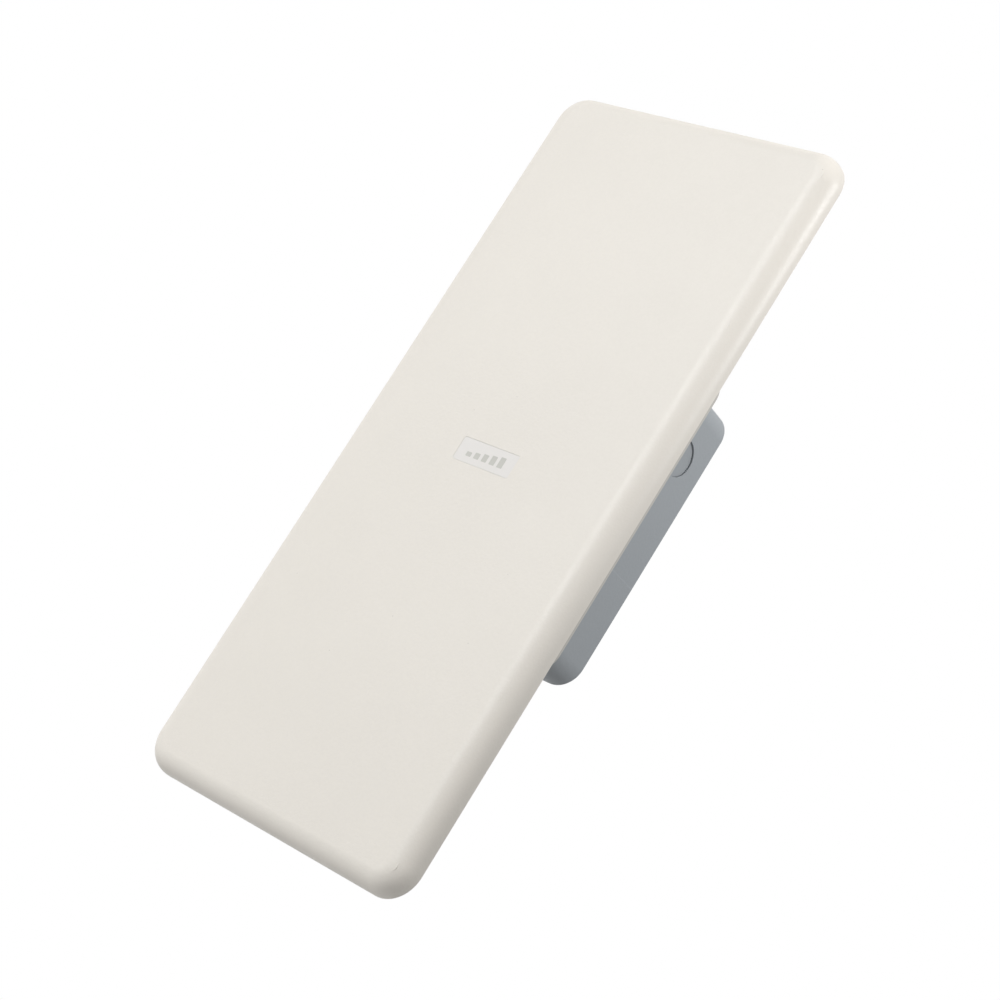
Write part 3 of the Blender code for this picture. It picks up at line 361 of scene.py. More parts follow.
def add_noise(tree, vector, scale, detail, roughness):
    node = tree.nodes.new("ShaderNodeTexNoise")
    tree.links.new(vector, node.inputs["Vector"])
    for name, value in (("Scale", scale), ("Detail", detail), ("Roughness", roughness)):
        feed(tree, node.inputs[name], value)
    return node.outputs["Fac"]


def add_range(tree, value, low, high, to_low=0.0, to_high=1.0):
    node = tree.nodes.new("ShaderNodeMapRange")
    tree.links.new(value, node.inputs["Value"])
    ends = {"From Min": low, "From Max": high, "To Min": to_low, "To Max": to_high}
    for name, number in ends.items():
        node.inputs[name].default_value = number
    return node.outputs["Result"]


def add_mix(tree, factor, first, second):
    """A colour mix; first and second are sockets or colours."""
    node = tree.nodes.new("ShaderNodeMix")
    node.data_type = "RGBA"
    for number, value in zip(MIX_INPUTS, (factor, first, second)):
        feed(tree, node.inputs[number], value)
    return node.outputs[MIX_RESULT]


def place_on(tree):
    """The surface's own coordinates, in metres."""
    return tree.nodes.new("ShaderNodeTexCoord").outputs["Object"]


def grain_group():
    """Moulded or sprayed skin: fine grain over a soft orange peel, as a height and a mask."""
    inputs = [
        ("Grain Scale", "float", 2200.0),
        ("Peel Scale", "float", 260.0),
        ("Peel", "float", 0.3),
    ]
    tree, start, end = new_group("skin grain", inputs, [("Height", "float"), ("Mask", "float")])
    where = place_on(tree)
    fine = add_noise(tree, where, start.outputs["Grain Scale"], *GRAIN_NOISE)
    peel = add_noise(tree, where, start.outputs["Peel Scale"], *PEEL_NOISE)
    raised = add_math(tree, "MULTIPLY", peel, start.outputs["Peel"])
    tree.links.new(add_math(tree, "ADD", fine, raised), end.inputs["Height"])
    tree.links.new(add_range(tree, fine, *MASK_RANGE), end.inputs["Mask"])
    return tree


def tone_group():
    """Slow drift of a colour over the surface, with a faint mottle from the grain."""
    inputs = [
        ("Color", "color", (0.5, 0.5, 0.5, 1.0)),
        ("Dull Color", "color", (0.4, 0.4, 0.4, 1.0)),
        ("Drift", "float", 0.3),
        ("Mottle", "float", 0.2),
        ("Mask", "float", 0.5),
    ]
    tree, start, end = new_group("tone drift", inputs, [("Color", "color")])
    slow = add_range(tree, add_noise(tree, place_on(tree), *DRIFT_NOISE), *DRIFT_RANGE)
    drift = add_math(tree, "MULTIPLY", slow, start.outputs["Drift"])
    mottle = add_math(tree, "MULTIPLY", start.outputs["Mask"], start.outputs["Mottle"])
    share = add_math(tree, "ADD", drift, mottle, clamp=True)
    mixed = add_mix(tree, share, start.outputs["Color"], start.outputs["Dull Color"])
    tree.links.new(mixed, end.inputs["Color"])
    return tree


def wear_group():
    """Rubbed edges: where the surface turns sharply within the radius, broken up by noise."""
    inputs = [("Amount", "float", 0.5), ("Patch Scale", "float", 160.0)]
    tree, start, end = new_group("edge wear", inputs, [("Mask", "float")])
    rounded = tree.nodes.new("ShaderNodeBevel")
    rounded.samples = WEAR_SAMPLES
    rounded.inputs["Radius"].default_value = WEAR_RADIUS
    flat = tree.nodes.new("ShaderNodeNewGeometry")
    normals = (rounded.outputs["Normal"], flat.outputs["Normal"])
    turn = add_vector_math(tree, "DOT_PRODUCT", *normals).outputs["Value"]
    edge = add_range(tree, turn, *WEAR_TURN)
    patches = add_noise(tree, place_on(tree), start.outputs["Patch Scale"], *WEAR_NOISE)
    worn = add_math(tree, "MULTIPLY", edge, add_range(tree, patches, *WEAR_RANGE))
    mask = add_math(tree, "MULTIPLY", worn, start.outputs["Amount"], clamp=True)
    tree.links.new(mask, end.inputs["Mask"])
    return tree


def speck_group():
    """Sparse small specks, such as pits and dust in a moulded face."""
    inputs = [("Scale", "float", 60.0), ("Size", "float", 0.02)]
    tree, start, end = new_group("specks", inputs, [("Mask", "float")])
    cells = tree.nodes.new("ShaderNodeTexVoronoi")
    tree.links.new(place_on(tree), cells.inputs["Vector"])
    tree.links.new(start.outputs["Scale"], cells.inputs["Scale"])
    dot = add_math(tree, "LESS_THAN", cells.outputs["Distance"], start.outputs["Size"])
    tree.links.new(dot, end.inputs["Mask"])
    return tree


def brush_group():
    """Fine lines along one direction, as a height and a mask, for drawn or turned metal."""
    inputs = [("Stretch", "vector", (1.0, 1.0, 30.0)), ("Scale", "float", 90.0)]
    tree, start, end = new_group("drawn lines", inputs, [("Height", "float"), ("Mask", "float")])
    stretched = add_vector_math(tree, "MULTIPLY", place_on(tree), start.outputs["Stretch"])
    lines = add_noise(tree, stretched.outputs["Vector"], start.outputs["Scale"], *LINE_NOISE)
    tree.links.new(lines, end.inputs["Height"])
    tree.links.new(add_range(tree, lines, *MASK_RANGE), end.inputs["Mask"])
    return tree


GROUPS = {
    "grain": grain_group(),
    "tone": tone_group(),
    "wear": wear_group(),
    "specks": speck_group(),
    "lines": brush_group(),
}


# ---------------------------------------------------------------- finishes
MOULDED_DULL = 0.93  # the duller tone, as a share of the colour
MOULDED_ROUGH = (-0.05, 0.07)  # how far the grain carries the roughness down and up
METAL_DULL = 0.8
METAL_ROUGH = (-0.06, 0.1)
METAL_DRIFT, METAL_MOTTLE = 0.4, 0.4
METAL_DEPTH = 0.000006
EVEN = (1.0, 1.0, 1.0)  # no stretch: lines run into plain grain

RADOME_COLOUR = (0.800, 0.765, 0.705)
RADOME_SIDE_SHADE_COLOUR = (0.785, 0.746, 0.684)  # painted shade: the sides are a little darker and warmer than the face
SIDE_SHADE_FRONT = 0.0637  # the face, on y
SIDE_SHADE_DEPTHS = (0.0002, 0.0040)  # behind the face, where the sides' painted shade starts and is full
PIT_SCALE, PIT_SIZE, PIT_SHADE = 42.0, 0.012, 0.72
COAT_COLOUR = (0.347, 0.372, 0.394)
# painted highlight: a lighter band where the die's raised witness line would catch light
DIE_LINE_Z = -0.0240
DIE_LINE_HALF_WIDTHS = (0.00035, 0.00015)  # where it fades in and where it is full
DIE_LINE_FROM_X = 0.0935  # only on the right-hand wall
DIE_LINE_HIGHLIGHT_STRENGTH, DIE_LINE_HIGHLIGHT = 0.35, 1.3
BOARD_COLOURS = {
    "Color1": (0.020, 0.130, 0.060, 1.0),
    "Color2": (0.030, 0.170, 0.080, 1.0),
    "Mortar": (0.050, 0.230, 0.110, 1.0),
}
TRACK_SCALE, TRACK_DEPTH = 120.0, 0.00002
BOARD_GRAIN = 900.0
BOARD_ROUGHNESS = (0.3, 0.42)
LENS_MILKINESS, LENS_SCATTER = 0.3, 0.002
FILM_SKIN = {"grain": 3200.0, "depth": 0.000008, "wear": 0.2, "worn": 1.05}
INK_SKIN = {"grain": 3200.0, "depth": 0.000006, "wear": 0.0, "worn": 1.0}


def add_group(tree, name, **values):
    """Places a shader group; values are named as its sockets are, with _ for a space."""
    node = tree.nodes.new("ShaderNodeGroup")
    node.node_tree = GROUPS[name]
    for key, value in values.items():
        feed(tree, node.inputs[key.replace("_", " ").title()], value)
    return node


def new_finish(name):
    made = bpy.data.materials.new(name)
    made.use_nodes = True
    return made, made.node_tree, made.node_tree.nodes["Principled BSDF"]


def add_bump(tree, shader, height, distance):
    bump = tree.nodes.new("ShaderNodeBump")
    bump.inputs["Distance"].default_value = distance
    bump.inputs["Strength"].default_value = 1.0
    tree.links.new(height, bump.inputs["Height"])
    tree.links.new(bump.outputs["Normal"], shader.inputs["Normal"])


def add_roughness(tree, shader, mask, low, high):
    """Roughness that follows a mask from low to high."""
    rough = add_range(tree, mask, 0.0, 1.0, low, high)
    tree.links.new(rough, shader.inputs["Roughness"])


def add_axes(tree):
    """The surface's own x, y and z, each a socket."""
    axes = tree.nodes.new("ShaderNodeSeparateXYZ")
    tree.links.new(place_on(tree), axes.inputs[0])
    return axes.outputs


def shade_of(colour, factor):
    return (*(min(1.0, part * factor) for part in colour), 1.0)


def moulded(name, colour, roughness, grain=2200.0, depth=0.00002, wear=0.5, worn=1.25, drift=0.3):
    """Moulded or coated surface: grain, slow tone drift, rubbed edges."""
    made, tree, shader = new_finish(name)
    skin_grain = add_group(tree, "grain", grain_scale=grain)
    mask = skin_grain.outputs["Mask"]
    dull = shade_of(colour, MOULDED_DULL)
    tone = add_group(tree, "tone", color=(*colour, 1.0), dull_color=dull, drift=drift, mask=mask)
    rubbed = add_group(tree, "wear", amount=wear)
    worn_colour = shade_of(colour, worn)
    base = add_mix(tree, rubbed.outputs["Mask"], tone.outputs["Color"], worn_colour)
    tree.links.new(base, shader.inputs["Base Color"])
    add_roughness(tree, shader, mask, *(roughness + step for step in MOULDED_ROUGH))
    add_bump(tree, shader, skin_grain.outputs["Height"], depth)
    return made, tree, shader, base


def metal(name, colour, roughness, stretch=(1.0, 1.0, 30.0), scale=90.0):
    """Bare metal with drawn lines and a duller tone between them."""
    made, tree, shader = new_finish(name)
    lines = add_group(tree, "lines", stretch=stretch, scale=scale)
    mask = lines.outputs["Mask"]
    tones = {"color": (*colour, 1.0), "dull_color": shade_of(colour, METAL_DULL)}
    tone = add_group(tree, "tone", **tones, drift=METAL_DRIFT, mottle=METAL_MOTTLE, mask=mask)
    tree.links.new(tone.outputs["Color"], shader.inputs["Base Color"])
    add_roughness(tree, shader, mask, *(roughness + step for step in METAL_ROUGH))
    shader.inputs["Metallic"].default_value = 1.0
    add_bump(tree, shader, lines.outputs["Height"], METAL_DEPTH)
    return made


def radome_plastic():
    """Warm off-white moulding with a fine spark texture, a few tiny pits and painted shade on its
    sides.
    """
    made, tree, shader, base = moulded(
        "radome_plastic", RADOME_COLOUR, 0.42, grain=620.0, depth=0.00010, worn=1.08
    )
    # painted shade: behind the face the sides are drawn darker and warmer
    behind_face = add_math(tree, "ADD", add_axes(tree)["Y"], SIDE_SHADE_FRONT)
    on_side = add_range(tree, behind_face, *SIDE_SHADE_DEPTHS)
    side_shaded = add_mix(tree, on_side, base, (*RADOME_SIDE_SHADE_COLOUR, 1.0))
    pits = add_group(tree, "specks", scale=PIT_SCALE, size=PIT_SIZE)
    speck = add_mix(tree, pits.outputs["Mask"], side_shaded, shade_of(RADOME_COLOUR, PIT_SHADE))
    tree.links.new(speck, shader.inputs["Base Color"])
    return made


def housing_coat():
    """Cool grey powder coat with a fine peel and a faint painted highlight along the die's witness
    line on its side.
    """
    look = {"grain": 700.0, "depth": 0.00009, "wear": 0.35, "worn": 1.35, "drift": 0.45}
    made, tree, shader, base = moulded("housing_coat", COAT_COLOUR, 0.5, **look)
    axes = add_axes(tree)
    # painted highlight: the coat is drawn lighter along the witness line on the right-hand wall
    from_line = add_math(tree, "ABSOLUTE", add_math(tree, "ADD", axes["Z"], -DIE_LINE_Z))
    line = add_range(tree, from_line, *DIE_LINE_HALF_WIDTHS)
    on_side = add_math(tree, "GREATER_THAN", axes["X"], DIE_LINE_FROM_X)
    shown = add_math(tree, "MULTIPLY", line, on_side)
    faint = add_math(tree, "MULTIPLY", shown, DIE_LINE_HIGHLIGHT_STRENGTH)
    lit = add_mix(tree, faint, base, shade_of(COAT_COLOUR, DIE_LINE_HIGHLIGHT))
    tree.links.new(lit, shader.inputs["Base Color"])
    return made


def board_laminate():
    """Green solder mask with the copper pattern showing faintly through."""
    made, tree, shader = new_finish("board_laminate")
    tracks = tree.nodes.new("ShaderNodeTexBrick")
    tree.links.new(place_on(tree), tracks.inputs["Vector"])
    tracks.inputs["Scale"].default_value = TRACK_SCALE
    for name, colour in BOARD_COLOURS.items():
        tracks.inputs[name].default_value = colour
    tree.links.new(tracks.outputs["Color"], shader.inputs["Base Color"])
    mask = add_group(tree, "grain", grain_scale=BOARD_GRAIN).outputs["Mask"]
    add_roughness(tree, shader, mask, *BOARD_ROUGHNESS)
    add_bump(tree, shader, tracks.outputs["Fac"], TRACK_DEPTH)
    return made


def lens_plastic():
    """Clear milky light guide."""
    made, _, shader, _ = moulded("lens_plastic", (0.70, 0.80, 0.75), 0.15, depth=0.000005, wear=0.0)
    shader.inputs["Subsurface Weight"].default_value = LENS_MILKINESS
    shader.inputs["Subsurface Scale"].default_value = LENS_SCATTER
    return made


MOULDED_LOOKS = {  # colour, roughness, and what differs from the usual skin
    "nameplate_film": ((0.785, 0.765, 0.738), 0.36, FILM_SKIN),
    "mark_ink": ((0.560, 0.555, 0.515), 0.4, INK_SKIN),
    "frame_plastic": ((0.55, 0.53, 0.495), 0.5, {"grain": 1900.0}),
    "plug_plastic": ((0.335, 0.358, 0.378), 0.55, {"grain": 900.0, "depth": 0.00006}),
    "back_plate_coat": ((0.60, 0.585, 0.55), 0.42, {"grain": 2600.0, "depth": 0.000025}),
    "seal_rubber": ((0.035, 0.035, 0.035), 0.7, {"grain": 1500.0}),
    "pad_silicone": ((0.35, 0.45, 0.60), 0.8, {"grain": 1200.0}),
    "cable_jacket": ((0.25, 0.10, 0.05), 0.4, {"grain": 3000.0}),
    "black_plastic": ((0.03, 0.03, 0.03), 0.5, {"grain": 1800.0}),
    "gland_nylon": ((0.045, 0.045, 0.047), 0.5, {"grain": 1600.0}),
    "button_plastic": ((0.55, 0.08, 0.06), 0.4, {"grain": 2600.0}),
}
METAL_LOOKS = {  # colour, roughness, and what differs from the usual drawn lines
    "cover_metal": ((0.60, 0.61, 0.62), 0.4, {}),
    "screw_steel": ((0.62, 0.62, 0.60), 0.28, {"stretch": EVEN, "scale": 900.0}),
    "patch_metal": ((0.75, 0.73, 0.68), 0.3, {"stretch": (30.0, 1.0, 1.0)}),
    "shield_metal": ((0.66, 0.66, 0.64), 0.3, {}),
    "connector_brass": ((0.70, 0.55, 0.28), 0.3, {"stretch": EVEN, "scale": 700.0}),
}
FINISHES = {
    "radome_plastic": radome_plastic(),
    "housing_coat": housing_coat(),
    "board_laminate": board_laminate(),
    "lens_plastic": lens_plastic(),
}
for finish, (colour, roughness, more) in MOULDED_LOOKS.items():
    FINISHES[finish] = moulded(finish, colour, roughness, **more)[0]
for finish, (colour, roughness, more) in METAL_LOOKS.items():
    FINISHES[finish] = metal(finish, colour, roughness, **more)


def dress_frame_nodes():
    """Every node kept from the frame gets the finish of its own slot."""
    slots = {part["node"]: part["material_slot"] for part in frame["record"]["subparts"]}
    for name, obj in frame["nodes"].items():
        obj.data.materials[0] = FINISHES[slots[name]]


# ---------------------------------------------------------------- radome
RADOME_LOW, RADOME_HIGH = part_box("radome")
FRONT_Y, RIM_Y = RADOME_LOW.y, RADOME_HIGH.y
RADOME_DEPTH = RIM_Y - FRONT_Y
RADOME_CORNER = 0.0209
RADOME_WALL = 0.0025
SIDE_FILLET = (0.0144, 0.0140)  # inset from the side, depth
END_FILLET = (0.0117, 0.0130)  # inset from the end, depth
LEDGE_INSET = 0.0085
FILLET_STEPS = 20
INNER_STEPS = 8
RADOME_BOSS_RADIUS = 0.0042
RADOME_SCREWS = [f"radome_screw_{number}" for number in range(1, 9)]


def fillet_sizes(angle):
    """Inset and depth of the edge fillet at this angle; a side blends into an end."""
    share = math.sin(angle) ** 2
    return [side * (1 - share) + end * share for side, end in zip(SIDE_FILLET, END_FILLET)]


def radome_loop(inset_and_depth):
    """One loop round the radome; inset_and_depth(angle) gives both from the rim's outer edge."""
    centre_x = RADOME_HIGH.x - RADOME_CORNER
    centre_z = RADOME_HIGH.z - RADOME_CORNER
    points = []
    for angle, sign_x, sign_z in round_corners():
        inset, depth = inset_and_depth(angle)
        x = sign_x * centre_x + (RADOME_CORNER - inset) * math.cos(angle)
        z = sign_z * centre_z + (RADOME_CORNER - inset) * math.sin(angle)
        points.append(Vector((x, RIM_Y - depth, z)))
    return points


def outer_fillet(turn):
    """The outer surface at this turn of the fillet, 0 at the rim side, pi/2 at the face."""

    def at(angle):
        inset, deep = fillet_sizes(angle)
        return inset * (1 - math.cos(turn)), RADOME_DEPTH - deep + deep * math.sin(turn)

    return at


def inner_fillet(part):
    """The inner surface, one wall inside; part runs from 0 at the seal ledge to 1 at the face."""

    def at(angle):
        inset, deep = fillet_sizes(angle)
        reach = inset - RADOME_WALL
        start = math.acos(1 - (LEDGE_INSET - RADOME_WALL) / reach)
        turn = start + (math.pi / 2 - start) * part
        depth = RADOME_DEPTH - deep + (deep - RADOME_WALL) * math.sin(turn)
        return RADOME_WALL + reach * (1 - math.cos(turn)), depth

    return at


def radome():
    """Moulded cover with an elliptical edge, a seal ledge and screw bosses inside."""
    seal_low, seal_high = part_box("radome_seal")
    ledge = RIM_Y - (seal_low.y - GAP)
    loops = [radome_loop(outer_fillet(turn)) for turn in reversed(quarter_turn(FILLET_STEPS))]
    for pair in ((0.0, 0.0), (RADOME_WALL, 0.0), (RADOME_WALL, ledge), (LEDGE_INSET, ledge)):
        loops.append(radome_loop(lambda angle, pair=pair: pair))
    loops += [radome_loop(inner_fillet(step / INNER_STEPS)) for step in range(INNER_STEPS + 1)]
    body = skinned("radome_cover", loops)
    places = places_of(RADOME_SCREWS)
    boss_foot = FRONT_Y + RADOME_WALL / 2
    combine(body, rods(places, RADOME_BOSS_RADIUS, boss_foot, seal_high.y), "UNION")
    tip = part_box(RADOME_SCREWS[0])[0].y
    drill(body, places, SMALL_HOLE, tip - GAP, RIM_Y)
    low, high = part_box("nameplate")
    half = ((high.x - low.x) / 2 + NAMEPLATE_FIT, (high.z - low.z) / 2 + NAMEPLATE_FIT)
    planes = (FRONT_Y - RADOME_WALL, high.y + GAP)
    pocket = [rounded_loop(*half, NAMEPLATE_CORNER + NAMEPLATE_FIT, y) for y in planes]
    combine(body, skin(bmesh.new(), pocket), "DIFFERENCE")
    put(soften(body, TINY_EDGE), ["radome"], "radome_plastic")


# ---------------------------------------------------------------- nameplate
NAMEPLATE_CORNER = 0.0012
NAMEPLATE_FIT = 0.00010  # hairline round it
NAMEPLATE_EDGE = 0.00005
MARK_DEPTH = 0.00006
MARK_BARS = 5
BAR_WIDTH, BAR_PITCH = 0.0040, 0.0064
BAR_FOOT = -0.0035
BAR_TALL, BAR_RISE = 0.0030, 0.0010  # the first bar, and how much taller each next one is
BAR_CORNER, BAR_CORNER_STEPS = 0.0005, 4


def nameplate():
    """Thin plate flush with the radome, bearing a plain row of rising signal bars."""
    low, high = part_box("nameplate")
    half = (high.x, high.z)
    face = low.y + MARK_DEPTH
    loops = [rounded_loop(*half, NAMEPLATE_CORNER, y) for y in (face, high.y)]
    body = skinned("nameplate_face", loops)
    put(soften(body, NAMEPLATE_EDGE), ["nameplate"], "nameplate_film")
    shape = bmesh.new()
    for number in range(MARK_BARS):
        tall = BAR_TALL + BAR_RISE * number
        middle = ((number - (MARK_BARS - 1) / 2) * BAR_PITCH, BAR_FOOT + tall / 2)
        outline = (BAR_WIDTH / 2, tall / 2, BAR_CORNER)
        planes = (low.y, face + MARK_DEPTH)
        skin(shape, [rounded_loop(*outline, y, middle, BAR_CORNER_STEPS) for y in planes])
    mark = make_object("nameplate_mark", shape)
    mark.data.materials.append(FINISHES["mark_ink"])
    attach(mark, "bridge")


# ---------------------------------------------------------------- back plate and carrier frame
RIDGE_HALF_WIDTH = 0.0040
RIDGE_LENGTH_HALF = 0.0510
RIDGE_AT = (0.0500, 0.1730)
RIDGE_CROWN = 0.75  # how far its top draws in, as a share of its half width
PASSAGE = (0.0220, 0.0120, 0.0050)  # half width, half height, corner
PASSAGE_AT = (0.0, 0.0200)
FRAME_CORNER, FRAME_EDGE = 0.0150, 0.0010
FRAME_OPENING = (0.0700, 0.0700, 0.0100)
HEAD_ROOM = 0.0012  # round the lid screws' heads


def plate(name, half, radius, front_y, rear_y):
    return skinned(name, [rounded_loop(*half, radius, y) for y in (front_y, rear_y)])


def ridge_loops(place, height):
    """A stiffening ridge, from just under the plate's rear face up to its rounded top."""
    outline = (RIDGE_HALF_WIDTH, RIDGE_LENGTH_HALF, RIDGE_HALF_WIDTH * SLOT_ROUND)
    loops = [rounded_loop(*outline, RIM_Y - GAP, place, SLOT_STEPS)]
    for turn in quarter_turn(EDGE_STEPS):
        pull = RIDGE_HALF_WIDTH * RIDGE_CROWN * (1 - math.cos(turn))
        half = (RIDGE_HALF_WIDTH - pull, RIDGE_LENGTH_HALF - pull)
        y = RIM_Y + height * math.sin(turn)
        loops.append(rounded_loop(*half, half[0] * SLOT_ROUND, y, place, SLOT_STEPS))
    return loops


def back_plate():
    """Coated reflector that closes the radome, with four pressed stiffening ridges."""
    low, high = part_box("back_plate")
    corner = RADOME_CORNER - (RADOME_HIGH.x - high.x)
    body = plate("reflector_plate", (high.x, high.z), corner, low.y, RIM_Y)
    ridges = bmesh.new()
    for place in four(*RIDGE_AT):
        skin(ridges, ridge_loops(place, high.y - RIM_Y))
    combine(body, ridges, "UNION")
    below, above = low.y - GAP, RIM_Y + GAP
    drill(body, places_of(RADOME_SCREWS), SMALL_HOLE, below, above)
    drill(body, four(BOSS_AT), LONG_HOLE, below, above)
    opening = [rounded_loop(*PASSAGE, y, PASSAGE_AT) for y in (below, above)]
    combine(body, skin(bmesh.new(), opening), "DIFFERENCE")
    put(soften(body), ["back_plate"], "back_plate_coat")


def carrier_frame():
    """Flat frame between the reflector and the housing, its rear edge broken."""
    low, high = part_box("carrier_frame")
    sides = (low.y, high.y - FRAME_EDGE)
    loops = [rounded_loop(high.x, high.z, FRAME_CORNER, y) for y in sides]
    for turn in quarter_turn(EDGE_STEPS)[1:]:
        pull = FRAME_EDGE * (1 - math.cos(turn))
        y = high.y - FRAME_EDGE + FRAME_EDGE * math.sin(turn)
        loops.append(rounded_loop(high.x - pull, high.z - pull, FRAME_CORNER - pull, y))
    loops += [rounded_loop(*FRAME_OPENING, y) for y in (high.y, low.y)]
    body = skinned("carrier_frame_moulding", loops, closed=True)
    below, above = low.y - GAP, high.y + GAP
    drill(body, four(BOSS_AT), LONG_HOLE, below, above)
    drill(body, four(*COVER_SCREW_AT), SMALL_SCREW[0] + HEAD_ROOM, below, above)
    put(soften(body, TINY_EDGE), ["carrier_frame"], "frame_plastic")


# ---------------------------------------------------------------- housing
SHELL_LOW, SHELL_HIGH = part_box("housing_shell")
HOUSING_HALF = SHELL_HIGH.x
HOUSING_CORNER = 0.0154
HOUSING_WALL = 0.0040
REAR_EDGE = 0.0012
FLOOR_Y = -0.0095  # inner face of the rear wall
BOSS_ROOT = 0.0015  # how far a boss is sunk into that wall
SHELL_FRONT_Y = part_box("housing_gasket")[1].y + GAP
BOSS_RADIUS, COVER_BOSS_RADIUS, BOARD_BOSS_RADIUS = 0.0055, 0.0045, 0.0035
BOSS_HOLE_DEPTH = 0.0145
COVER_HOLE_END = -0.0337
TIP_ROOM = 0.0005  # past the tips of the board's screws
HEAT_PAD_LOW, HEAT_PAD_HIGH = (-0.0220, -0.0120), (0.0220, 0.0320)  # in x and z
FIN_GROOVE = (0.0020, 0.0800)
FIN_DEPTH = 0.0065
FIN_PITCH = 0.0064
FIN_COUNT = 4
PAD_HALF = 0.0620
MOUNT_HOLE_AT = 0.0500
MOUNT_THREAD = (0.0034, 0.0030)  # radius at the thread's root and at its crest
MOUNT_DEPTH = 0.0120
MOUNT_PITCH = 0.00125
MOUNT_MOUTH = 0.0010  # countersink
MOUNT_RUN_OUT = 0.0020  # depth without thread
MOUNT_BOSS_RADIUS, MOUNT_BOSS_TOP = 0.0080, -0.0145
PLUG_LOW, PLUG_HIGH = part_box("side_plug")
PLUG_Y, PLUG_Z = centre("side_plug").y, centre("side_plug").z
PLUG_RADIUS = (PLUG_HIGH.z - PLUG_LOW.z) / 2
PLUG_SHANK = 0.0086
PLUG_HEAD = 0.0018
PLUG_FIT = 0.00012  # round its head
PLUG_BOSS = (0.0132, 0.0100)  # radius, how far in it reaches from the wall's outside
PLUG_BORE = (0.0106, 0.0006)  # how far its cutter reaches inside and outside
FITTING_Y = centre("gland_body").y
FITTING_SEAT = -HOUSING_HALF - GAP
VENT_X, GROUND_X, LENS_X = (centre(name).x for name in ("vent", "ground_screw", "status_lens"))
VENT_SHANK, GROUND_SHANK, LENS_SHANK = 0.0057, 0.0023, 0.0022
GLAND_THREAD = 0.0079
GROUND_BOSS = (0.0055, 0.0120)  # radius, length
GROUND_HOLE = 0.0112
GROMMET_RADIUS = 0.0032


def shell_tray():
    """The walls: rounded rear edge, outside to the front rim, then inside."""
    inside = HOUSING_HALF - HOUSING_WALL
    loops = []
    for turn in reversed(quarter_turn(EDGE_STEPS)):
        pull = REAR_EDGE * (1 - math.cos(turn))
        half = HOUSING_HALF - pull
        y = SHELL_HIGH.y - REAR_EDGE * (1 - math.sin(turn))
        loops.append(rounded_loop(half, half, HOUSING_CORNER - pull, y))
    loops.append(rounded_loop(HOUSING_HALF, HOUSING_HALF, HOUSING_CORNER, SHELL_FRONT_Y))
    for y in (SHELL_FRONT_Y, FLOOR_Y):
        loops.append(rounded_loop(inside, inside, HOUSING_CORNER - HOUSING_WALL, y))
    return skinned("housing_casting", loops)


def shell_bosses():
    """What stands up inside the casting, in groups whose members stay apart."""
    root = FLOOR_Y + BOSS_ROOT
    top = SHELL_LOW.y
    yield rods(four(BOSS_AT), BOSS_RADIUS, top, root)
    yield rods(four(*COVER_SCREW_AT), COVER_BOSS_RADIUS, top, root)
    board_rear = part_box("main_board")[1].y
    yield rods(four(BOARD_SCREW_AT), BOARD_BOSS_RADIUS, board_rear + GAP, root)
    yield rods(four(MOUNT_HOLE_AT), MOUNT_BOSS_RADIUS, MOUNT_BOSS_TOP, root)
    shape = bmesh.new()
    (low_x, low_z), (high_x, high_z) = HEAT_PAD_LOW, HEAT_PAD_HIGH
    add_box(shape, (low_x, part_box("thermal_pad")[1].y + GAP, low_z), (high_x, root, high_z))
    radius, reach = PLUG_BOSS
    inner, outer = HOUSING_HALF - reach, HOUSING_HALF - HOUSING_WALL / 2
    add_rod(shape, radius, (0, PLUG_Y, PLUG_Z), "x", inner, outer, FINE_SIDES)
    radius, length = GROUND_BOSS
    low, high = HOUSING_WALL / 2 - HOUSING_HALF, length - HOUSING_HALF
    add_rod(shape, radius, (GROUND_X, FITTING_Y, 0), "z", low, high)
    yield shape


def threaded_hole(shape, x, z):
    """Cutter for a tapped hole from the rear face, with a countersunk mouth."""
    root, crest = MOUNT_THREAD
    mouth = root + MOUNT_MOUTH
    profile = [(0, GAP), (mouth, GAP), (mouth, 0), (root, -MOUNT_MOUTH)]
    for number in range(int((MOUNT_DEPTH - MOUNT_RUN_OUT) / MOUNT_PITCH)):
        y = -MOUNT_MOUTH - MOUNT_PITCH * (number + 0.5)
        profile += [(crest, y), (root, y - MOUNT_PITCH / 2)]
    profile += [(crest, -MOUNT_DEPTH), (0, -MOUNT_DEPTH)]
    add_turned(shape, profile, (x, 0, z), "y", SMALL_SIDES)


def fin_grooves():
    """Cutters for the cooling grooves on both sides of the mounting pad."""
    shape = bmesh.new()
    outline = (*FIN_GROOVE, FIN_GROOVE[0] * SLOT_ROUND)
    for side in (-1, 1):
        for number in range(FIN_COUNT):
            x = side * (PAD_HALF + FIN_PITCH * (number + 0.5))
            planes = (FIN_DEPTH, -FIN_DEPTH)
            skin(shape, [rounded_loop(*outline, y, (x, 0.0), SLOT_STEPS) for y in planes])
    return shape


def plug_recess():
    """Stepped cutter for the side plug: its bore and the seat of its head."""
    reach, past = PLUG_BORE
    inner, outer = HOUSING_HALF - reach, HOUSING_HALF + past
    seat = PLUG_HIGH.x - PLUG_HEAD - GAP
    bore, wide = PLUG_SHANK + FIT, PLUG_RADIUS + PLUG_FIT
    stepped = [(0, inner), (bore, inner), (bore, seat), (wide, seat), (wide, outer), (0, outer)]
    return add_turned(bmesh.new(), stepped, (0, PLUG_Y, PLUG_Z), "x")


def bottom_holes():
    """Cutters through the bottom wall for the gland, the vent, the light guide and the earth."""
    shape = bmesh.new()
    low, high = FITTING_SEAT, -HOUSING_HALF + HOUSING_WALL + GAP
    for x, radius in ((0.0, GLAND_THREAD), (VENT_X, VENT_SHANK), (LENS_X, LENS_SHANK)):
        add_rod(shape, radius + FIT, (x, FITTING_Y, 0), "z", low, high)
    place = (GROUND_X, FITTING_Y, 0)
    add_rod(shape, GROUND_SHANK + FIT, place, "z", low, -HOUSING_HALF + GROUND_HOLE)
    return shape


